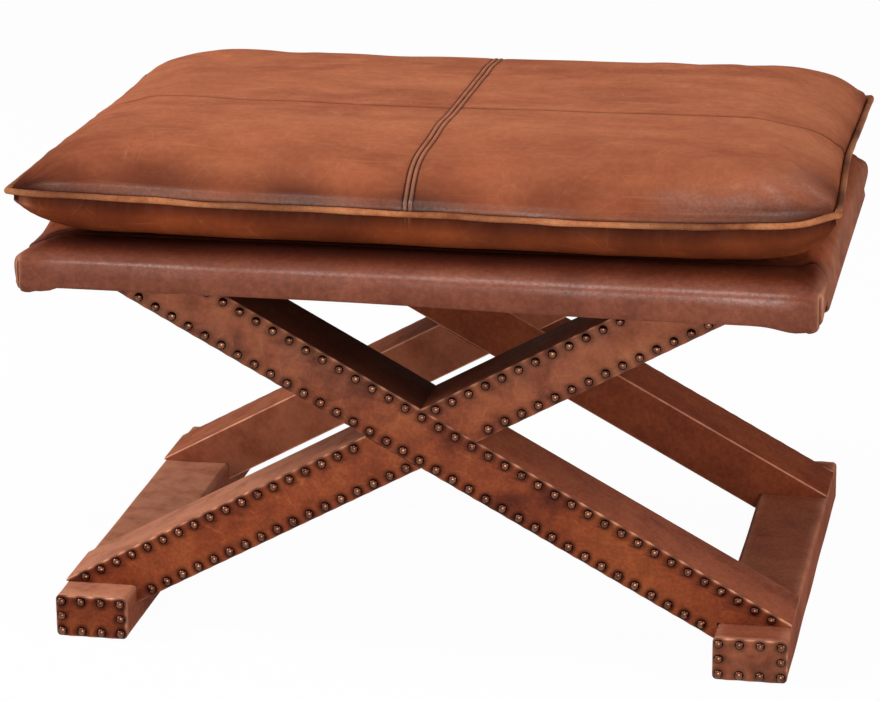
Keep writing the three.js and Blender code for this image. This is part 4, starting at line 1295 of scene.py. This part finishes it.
def stuffCushion():
    # The cover as cloth, blown up from inside with its piped seam held. Returns how far each point of
    # the two covers moves, on a coarse grid.
    lines = math.ceil(halfCover / stuffing["grid"]) * 2 + 1
    rows = math.ceil(halfCoverDepth / stuffing["grid"]) * 2 + 1
    s, t = shearedShares(np.linspace(-1, 1, lines), np.linspace(-1, 1, rows))
    covers = np.stack([cushionSurface(s, t, True), cushionSurface(s, t, False)])
    within = swell(s, t, {"length": 12, "front": 12, "rear": 12, "edge": 0.5})[..., None]
    start = covers.copy()
    start[0] -= gridNormals(covers[0]) * stuffing["start"] * within
    start[1] += gridNormals(covers[1]) * stuffing["start"] * within
    index = np.arange(2 * lines * rows).reshape(2, lines, rows)
    edge = np.zeros((lines, rows), bool)
    edge[[0, -1]] = edge[:, [0, -1]] = True
    index[1][edge] = index[0][edge]
    used, faces = np.unique(index, return_inverse=True)
    faces = faces.reshape(index.shape)
    quads = []
    for side in (0, 1):
        f = faces[side]
        sheet = np.stack([f[:-1, :-1], f[1:, :-1], f[1:, 1:], f[:-1, 1:]], -1).reshape(-1, 4)
        quads += (sheet if side == 0 else sheet[:, ::-1]).tolist()
    obj = meshObject("cushion_cover_cloth", start.reshape(-1, 3)[used], quads, leathers["cushion_hide"])
    held = obj.vertex_groups.new(name="held")
    held.add(faces[0][edge].tolist(), 1.0, "REPLACE")
    onSeam = (abs(s - longSeamAt(t)) < 0.012) | (abs(t - crossSeamAt(s)) < 0.016)
    held.add(faces[0][onSeam & ~edge].tolist(), stuffing["hold"], "REPLACE")
    cloth = obj.modifiers.new("stuffed", "CLOTH")
    for key, value in fabric.items():
        setattr(cloth.settings, key, value)
    cloth.settings.effector_weights.gravity = 0.0
    cloth.collision_settings.use_collision = False
    for number in range(1, stuffing["frames"] + 1):
        scene.frame_set(number)
    blown = obj.evaluated_get(bpy.context.evaluated_depsgraph_get()).data
    spots = np.empty(len(blown.vertices) * 3, np.float32)
    blown.vertices.foreach_get("co", spots)
    scene.frame_set(1)
    obj.modifiers.remove(cloth)
    bpy.data.objects.remove(obj)
    moved = spots.reshape(-1, 3).astype(float)[faces] - covers
    length = np.linalg.norm(moved, axis=-1, keepdims=True)
    cap = stuffing["cap"]
    moved *= cap * np.tanh(length / cap) / np.maximum(length, 1e-9)
    print("cushion: cover moved %.1f mm on average" % (1000 * length.mean()))
    # The form itself is already right, so only the small puffs and wrinkles stay
    level = np.stack([blurred(side, stuffing["blur"]) for side in moved])
    return (moved - level) * within


def cornerCreases(points, isTop):
    # Folds that run from the four corners into the cover
    rng = np.random.default_rng(crease["seed"] + isTop)
    depth = np.zeros(points.shape[:-1])
    for sx in (-1, 1):
        for sy in (-1, 1):
            cornerX, cornerY = cushionPlan(np.float64(sx), np.float64(sy))
            dx, dy = (cornerX - points[..., 0]) * sx, (cornerY - points[..., 1]) * sy
            away = np.hypot(dx, dy)
            angle = np.degrees(np.arctan2(dy, dx))
            for place in np.linspace(12, 78, crease["corners"]) + rng.uniform(-6, 6, crease["corners"]):
                reach = crease["reach"] * rng.uniform(0.6, 1.25)
                bend = place + rng.uniform(-90, 90) * away
                width = rng.uniform(2.2, 4.0) + 0.0 * away
                fade = bell(away, 0, reach) * (1 - bell(away, 0, 0.012))
                depth += bell(angle, bend, width) * fade * rng.uniform(0.5, 1.0)
    return crease["depth"] * depth


def addCushion():
    columns, rows = finePlaces(halfCover, longSeam["offsets"]), finePlaces(halfCoverDepth, crossSeam["offsets"])
    s, t = shearedShares(columns, rows)
    moved = stuffCushion()
    grids, layers = [], []
    for side, isTop in ((0, True), (1, False)):
        points = cushionSurface(s, t, isTop)
        points = points + np.swapaxes(spreadOut(np.swapaxes(spreadOut(moved[side], columns), 0, 1), rows), 0, 1)
        normal = gridNormals(points) * (1 if isTop else -1)
        x, y = cushionPlan(s, t)
        fromLong = abs(x - cushionPlan(longSeamAt(t), t)[0])
        fromCross = abs(y - cushionPlan(s, crossSeamAt(s))[1])
        endX = np.minimum(cushionPlan(1.0 + 0 * s, t)[0] - x, x - cushionPlan(-1.0 + 0 * s, t)[0])
        endY = np.minimum(cushionPlan(s, 1.0 + 0 * t)[1] - y, y - cushionPlan(s, -1.0 + 0 * t)[1])
        above = abs(points[..., 2] - seamHeight(s, t))
        rim = np.hypot(np.minimum(endX, endY), above)
        away = smoothStep(rim, 0.0, 0.006)
        creases = cornerCreases(points, isTop)
        height = -creases * away
        height += crease["ripple"] * bumps(points * (1.0, 1.7, 1.0), crease["rippleSize"], 51) * away
        height += crease["bulge"] * bell(rim, crease["bulgePlace"], crease["bulgeSpread"])
        # top cover: dark along the seam; bottom cover: painted shadow, near black, under the piping
        wax = 0.6 * bell(rim, 0, 0.0017) if isTop else 1.15 * (1 - smoothStep(above, *crease["dark"]))
        rub, polish = np.zeros_like(rim), np.zeros_like(rim)
        # painted shade in the corner creases
        wax += 300 * creases
        if isTop:
            step = longSeam["rows"]
            strip = np.clip(1 - ((fromLong - step / 2) / (step / 2 - 0.0002)) ** 2, 0, 1)
            join = bell(fromLong, 0, 0.00055)
            stitched = bell(fromLong, step, 0.00065)
            ends = smoothStep(rim, 0.0, 0.004)
            height -= longSeam["valley"] * bell(fromLong, 0, longSeam["valleySpread"]) * ends
            height += (longSeam["ridge"] * strip - longSeam["groove"] * (join + 0.85 * stitched)) * ends
            wax += 0.8 * join + 0.7 * stitched + 0.3 * bell(fromLong, 0, 0.006)
            rub += 0.22 * strip
            clear = 1 - np.exp(-(fromLong / (step * 1.15)) ** 6)
            line = bell(fromCross, 0, crossSeam["grooveSpread"]) * clear
            height -= crossSeam["groove"] * line * ends
            height -= crossSeam["valley"] * bell(fromCross, 0, crossSeam["valleySpread"]) * clear * ends
            wax += 1.0 * line + 0.2 * bell(fromCross, 0, 0.004) * clear
            # darkened where the front and the right end roll down to the piping: burnished patina, deepened with
            # painted shade
            front = smoothStep(-t, 0.2, 0.8)
            burnish = bell(above, 0, 0.034) * front
            burnish = np.maximum(burnish, 0.5 * bell(above, 0, 0.014))
            burnish *= 1 + 0.15 * smoothStep(s, 0.35, 0.75)
            wax += 0.95 * burnish * (0.85 + 0.3 * bumps(points * (1.0, 2.0, 2.0), 0.09, 53))
            polish = bell(above, 0.0062, 0.0042) * front * (1 - smoothStep(abs(s), 0.86, 0.97))
            polish *= 1 - 0.6 * smoothStep(s, 0.2, 0.6)
            polish += 0.8 * bell(above, 0.022, 0.014) * smoothStep(s, 0.45, 0.8) * smoothStep(-t, 0.4, 0.9)
            polish *= 0.85 + 0.35 * bumps(points * (1.0, 1.0, 2.0), 0.05, 52)
            # painted highlight in the polished band just above the piping
            rub += 0.17 * np.clip(polish, 0, 1) * bell(above, 0, 0.01)
            tan = 0.5 * burnish
        else:
            height -= crease["tuck"] * bell(rim, 0.006, 0.0026)
            # the first roll under the piping gets a painted highlight, most in the middle
            roll = bell(above, crease["rollPlace"], crease["rollSpread"])
            roll *= (1 - smoothStep(s, 0.45, 0.7)) * (0.4 + 0.6 * bell(s, -0.05, 0.4))
            # painted shade over the whole bottom cover, darker to the right, mottled, lighter on the roll
            wax += (0.64 + 0.1 * s + 0.2 * bumps(points * (1.0, 2.0, 2.0), 0.05, 54)) * (1 - 0.8 * roll)
            rub += 0.85 * roll
            # redder and darker all over: painted shade
            tan = np.ones_like(rim)
        points = points + normal * height[..., None]
        grids.append(points)
        layers.append({"wax": np.clip(wax, 0, 1.15), "rub": np.clip(rub, 0, 1), "polish": np.clip(polish, 0, 1),
                       "tan": tan})
    grids[1][0], grids[1][-1] = grids[0][0], grids[0][-1]
    grids[1][:, 0], grids[1][:, -1] = grids[0][:, 0], grids[0][:, -1]
    restOnSeat(grids[1])
    values = {label: np.stack([layer[label] for layer in layers]) for label in layers[0]}
    obj = meshObject("cushion_leather", np.stack(grids), bothSides(*s.shape), leathers["cushion_hide"], values)
    tidyMesh(obj, sharp=70)
    dress(obj, "cushion", "cushion_leather", "cushion_top_cover", "cushion_bottom_cover", "cushion_fill")
    addStitches(grids[0], columns, gridNormals(grids[0]))


def restOnSeat(points):
    # The underside stays clear of the seat that it lies on
    graph = bpy.context.evaluated_depsgraph_get()
    trees = [BVHTree.FromObject(bpy.data.objects[name], graph)
             for name in ("seat_centre_leather", "seat_front_leather", "seat_rear_leather")]
    for point in points.reshape(-1, 3):
        if point[2] < cushionSeam:
            for tree in trees:
                hit = tree.ray_cast(Vector((point[0], point[1], cushionTop + 0.1)), Vector((0, 0, -1)))[0]
                if hit is not None:
                    point[2] = max(point[2], hit.z + stuffing["clear"])


# Stitches, by geometry nodes: short threads along a line of points that knows which way is out
stitch = {"pitch": 0.0038, "length": 0.0030, "thickness": 0.0007, "segments": 6, "rings": 5, "lift": 0.00025}


stitchInputs = {"Pitch": stitch["pitch"], "Length": stitch["length"], "Thickness": stitch["thickness"],
                "Segments": stitch["segments"], "Rings": stitch["rings"]}


def makeStitchTree():
    tree, given, result = growingTree("thread_stitches", stitchInputs)
    line = addNode(tree, "GeometryNodeMeshToCurve", Mesh=given["Geometry"])
    spaced = addNode(tree, "GeometryNodeResampleCurve", {"mode": "LENGTH"}, Curve=line.outputs[0],
                     Length=given["Pitch"])
    ahead = addNode(tree, "FunctionNodeAlignRotationToVector", {"axis": "X"},
                    Vector=addNode(tree, "GeometryNodeInputTangent").outputs[0])
    facing = addNode(tree, "FunctionNodeAlignRotationToVector", {"axis": "Z", "pivot_axis": "X"},
                     Rotation=ahead.outputs[0], Vector=outwardAttribute(tree))
    size = addNode(tree, "ShaderNodeCombineXYZ", X=given["Length"], Y=given["Thickness"], Z=given["Thickness"])
    return plant(tree, given, result, Points=spaced.outputs[0], Instance=ball(tree, given, 0.5),
                 Rotation=facing.outputs[0], Scale=size.outputs[0])


def addStitches(top, columns, normals):
    points, outward, edges = [], [], []
    offset = uncrowded(longSeam["rows"] / halfCover)
    for way in (-1, 1):
        line = np.argmin(abs(columns - way * offset))
        start = len(points)
        lifted = top[line] + normals[line] * stitch["lift"]
        points += list(lifted[3:-3])
        outward += list(normals[line][3:-3])
        edges += [(k, k + 1) for k in range(start, len(points) - 1)]
    mesh = bpy.data.meshes.new("stitch_lines")
    mesh.from_pydata([tuple(p) for p in points], edges, [])
    addLayer(mesh, "outward", outward, "FLOAT_VECTOR", "vector")
    lines = addObject("stitch_lines", mesh)
    stitches = grow("cushion_stitches", lines, makeStitchTree(), {**stitchInputs, "Material": thread})
    dress(stitches, "cushion", "cushion_leather")


def pipingRoute():
    # The seam's line just outside the covers, once round, close together at the corners
    share = crowded(crowded(np.linspace(-1, 1, math.ceil(2 * halfCover / 0.004) + 1)))
    depth = crowded(crowded(np.linspace(-1, 1, math.ceil(2 * halfCoverDepth / 0.004) + 1)))
    one = np.ones_like
    s = np.concatenate([share[:-1], one(depth[:-1]), share[:0:-1], -one(depth[:-1])])
    t = np.concatenate([-one(share[:-1]), depth[:-1], one(share[:-1]), depth[:0:-1]])
    x, y = cushionPlan(s, t, cushion["gap"] + cushion["piping"] / 2)
    route = np.column_stack([x, y, seamHeight(s, t)])
    for _ in range(3):                   # eases the corners
        smooth = (np.roll(route, 1, 0) + 2 * route + np.roll(route, -1, 0)) / 4
        nearCorner = smoothStep(abs(s * t), 0.93, 0.99)[:, None]
        route = route + (smooth - route) * nearCorner
    return route


def addPiping():
    route = pipingRoute()
    ahead = np.roll(route, -1, 0) - np.roll(route, 1, 0)
    ahead /= np.linalg.norm(ahead, axis=1, keepdims=True)
    side = np.cross(ahead, (0, 0, 1))
    side /= np.linalg.norm(side, axis=1, keepdims=True)
    up = np.cross(side, ahead)
    sides = 12
    angles = np.arange(sides) / sides * 2 * math.pi
    route[:, 2] += 0.0005 * bumps(route, 0.05, 32)
    radius = cushion["piping"] / 2 * (1 + 0.08 * bumps(route, 0.03, 31))
    ring = np.cos(angles)[None, :, None] * side[:, None] + np.sin(angles)[None, :, None] * up[:, None]
    points = route[:, None] + ring * radius[:, None, None]
    faces = gridFaces(len(route), sides, closeRows=True, closeColumns=True)
    stain = np.clip(0.45 * bumps(points, 0.07, 33) + 0.12, 0, 0.55)
    stain += 0.3 * smoothStep(points[..., 0], 0.36, 0.385)
    # painted shade: dark on top and near black underneath, leaving the lower half that faces the camera palest
    around = 1.3 * smoothStep(-np.sin(angles), 0.6, 0.84) + 0.3 * smoothStep(np.sin(angles), 0.2, 0.8)
    stain = np.minimum(stain + around[None, :], 1.0)
    values = {"wax": stain.ravel(), "rub": 0 * stain.ravel()}
    obj = meshObject("cushion_piping_leather", points, faces, leathers["piping_hide"], values)
    tidyMesh(obj)
    dress(obj, "cushion", "piping_leather", "cushion_piping")


addCushion()
addPiping()
print("cushion: cover, stitches and piping")

# What stays of the frame, inside the leather
for subpart in frame["record"]["subparts"]:
    node = frame["nodes"][subpart["node"]]
    if subpart["material_slot"] in finishOf and not node.hide_render:
        node.data.materials.clear()
        node.data.materials.append(finishOf[subpart["material_slot"]])
print("inner pieces finished")

# Floor, world and lamps
studio = {
    "floor": 9.0,
    "aim": (0, 0, 0.25),
    "key": {"place": (-3.1, -0.3, 2.3), "size": 1.6, "power": 118.0},
    "side": {"place": (3.0, -0.6, 1.7), "size": 1.8, "power": 63.0},
    "fill": {"place": (0.5, -3.6, 0.7), "size": 1.8, "power": 66.0},
    "top": {"place": (-0.4, -0.8, 2.9), "size": 1.7, "power": 32.0},
    "world": 0.14,
    "floorTone": 0.62,
}


def seenDirectly(tree):
    # 1 where the camera, a mirror or a glass sees the surface, 0 where it only lights others
    path = addNode(tree, "ShaderNodeLightPath")
    either = calculate(tree, "MAXIMUM", path.outputs["Is Camera Ray"], path.outputs["Is Glossy Ray"])
    return calculate(tree, "MAXIMUM", either, path.outputs["Is Transmission Ray"])


def addFloor():
    half = studio["floor"] / 2
    corners = [(-half, -half, 0), (half, -half, 0), (half, half, 0), (-half, half, 0)]
    material, tree, shader = newMaterial("studio_floor")
    feedNode(tree, shader, Base_Color=(studio["floorTone"],) * 3 + (1,), Roughness=0.9)
    glow = addNode(tree, "ShaderNodeEmission", Strength=1.0)
    blend = addNode(tree, "ShaderNodeMixShader", None, times(tree, seenDirectly(tree), 0.97), shader.outputs[0],
                    glow.outputs[0])
    feedNode(tree, tree.nodes["Material Output"], Surface=blend.outputs[0])
    meshObject("studio_floor", corners, [[0, 1, 2, 3]], material)


def addWorld():
    world = bpy.data.worlds.new("studio")
    scene.world = world
    world.use_nodes = True
    tree = world.node_tree
    strength = addNode(tree, "ShaderNodeMapRange", Value=seenDirectly(tree), To_Min=studio["world"], To_Max=1.0)
    feedNode(tree, tree.nodes["Background"], Color=(1, 1, 1, 1), Strength=strength.outputs[0])


def addLamp(name, lamp):
    data = bpy.data.lights.new(name, "AREA")
    data.size = lamp["size"]
    data.energy = lamp["power"]
    place = Vector(lamp["place"])
    aim = Vector(studio["aim"]) - place
    turn = aim.to_track_quat("-Z", "Y").to_matrix().to_4x4()
    addObject(name, data).matrix_world = Matrix.Translation(place) @ turn


addFloor()
addWorld()
for lampName in ("key", "side", "fill", "top"):
    addLamp(lampName + "_lamp", studio[lampName])
print("studio: floor, world and four lamps")
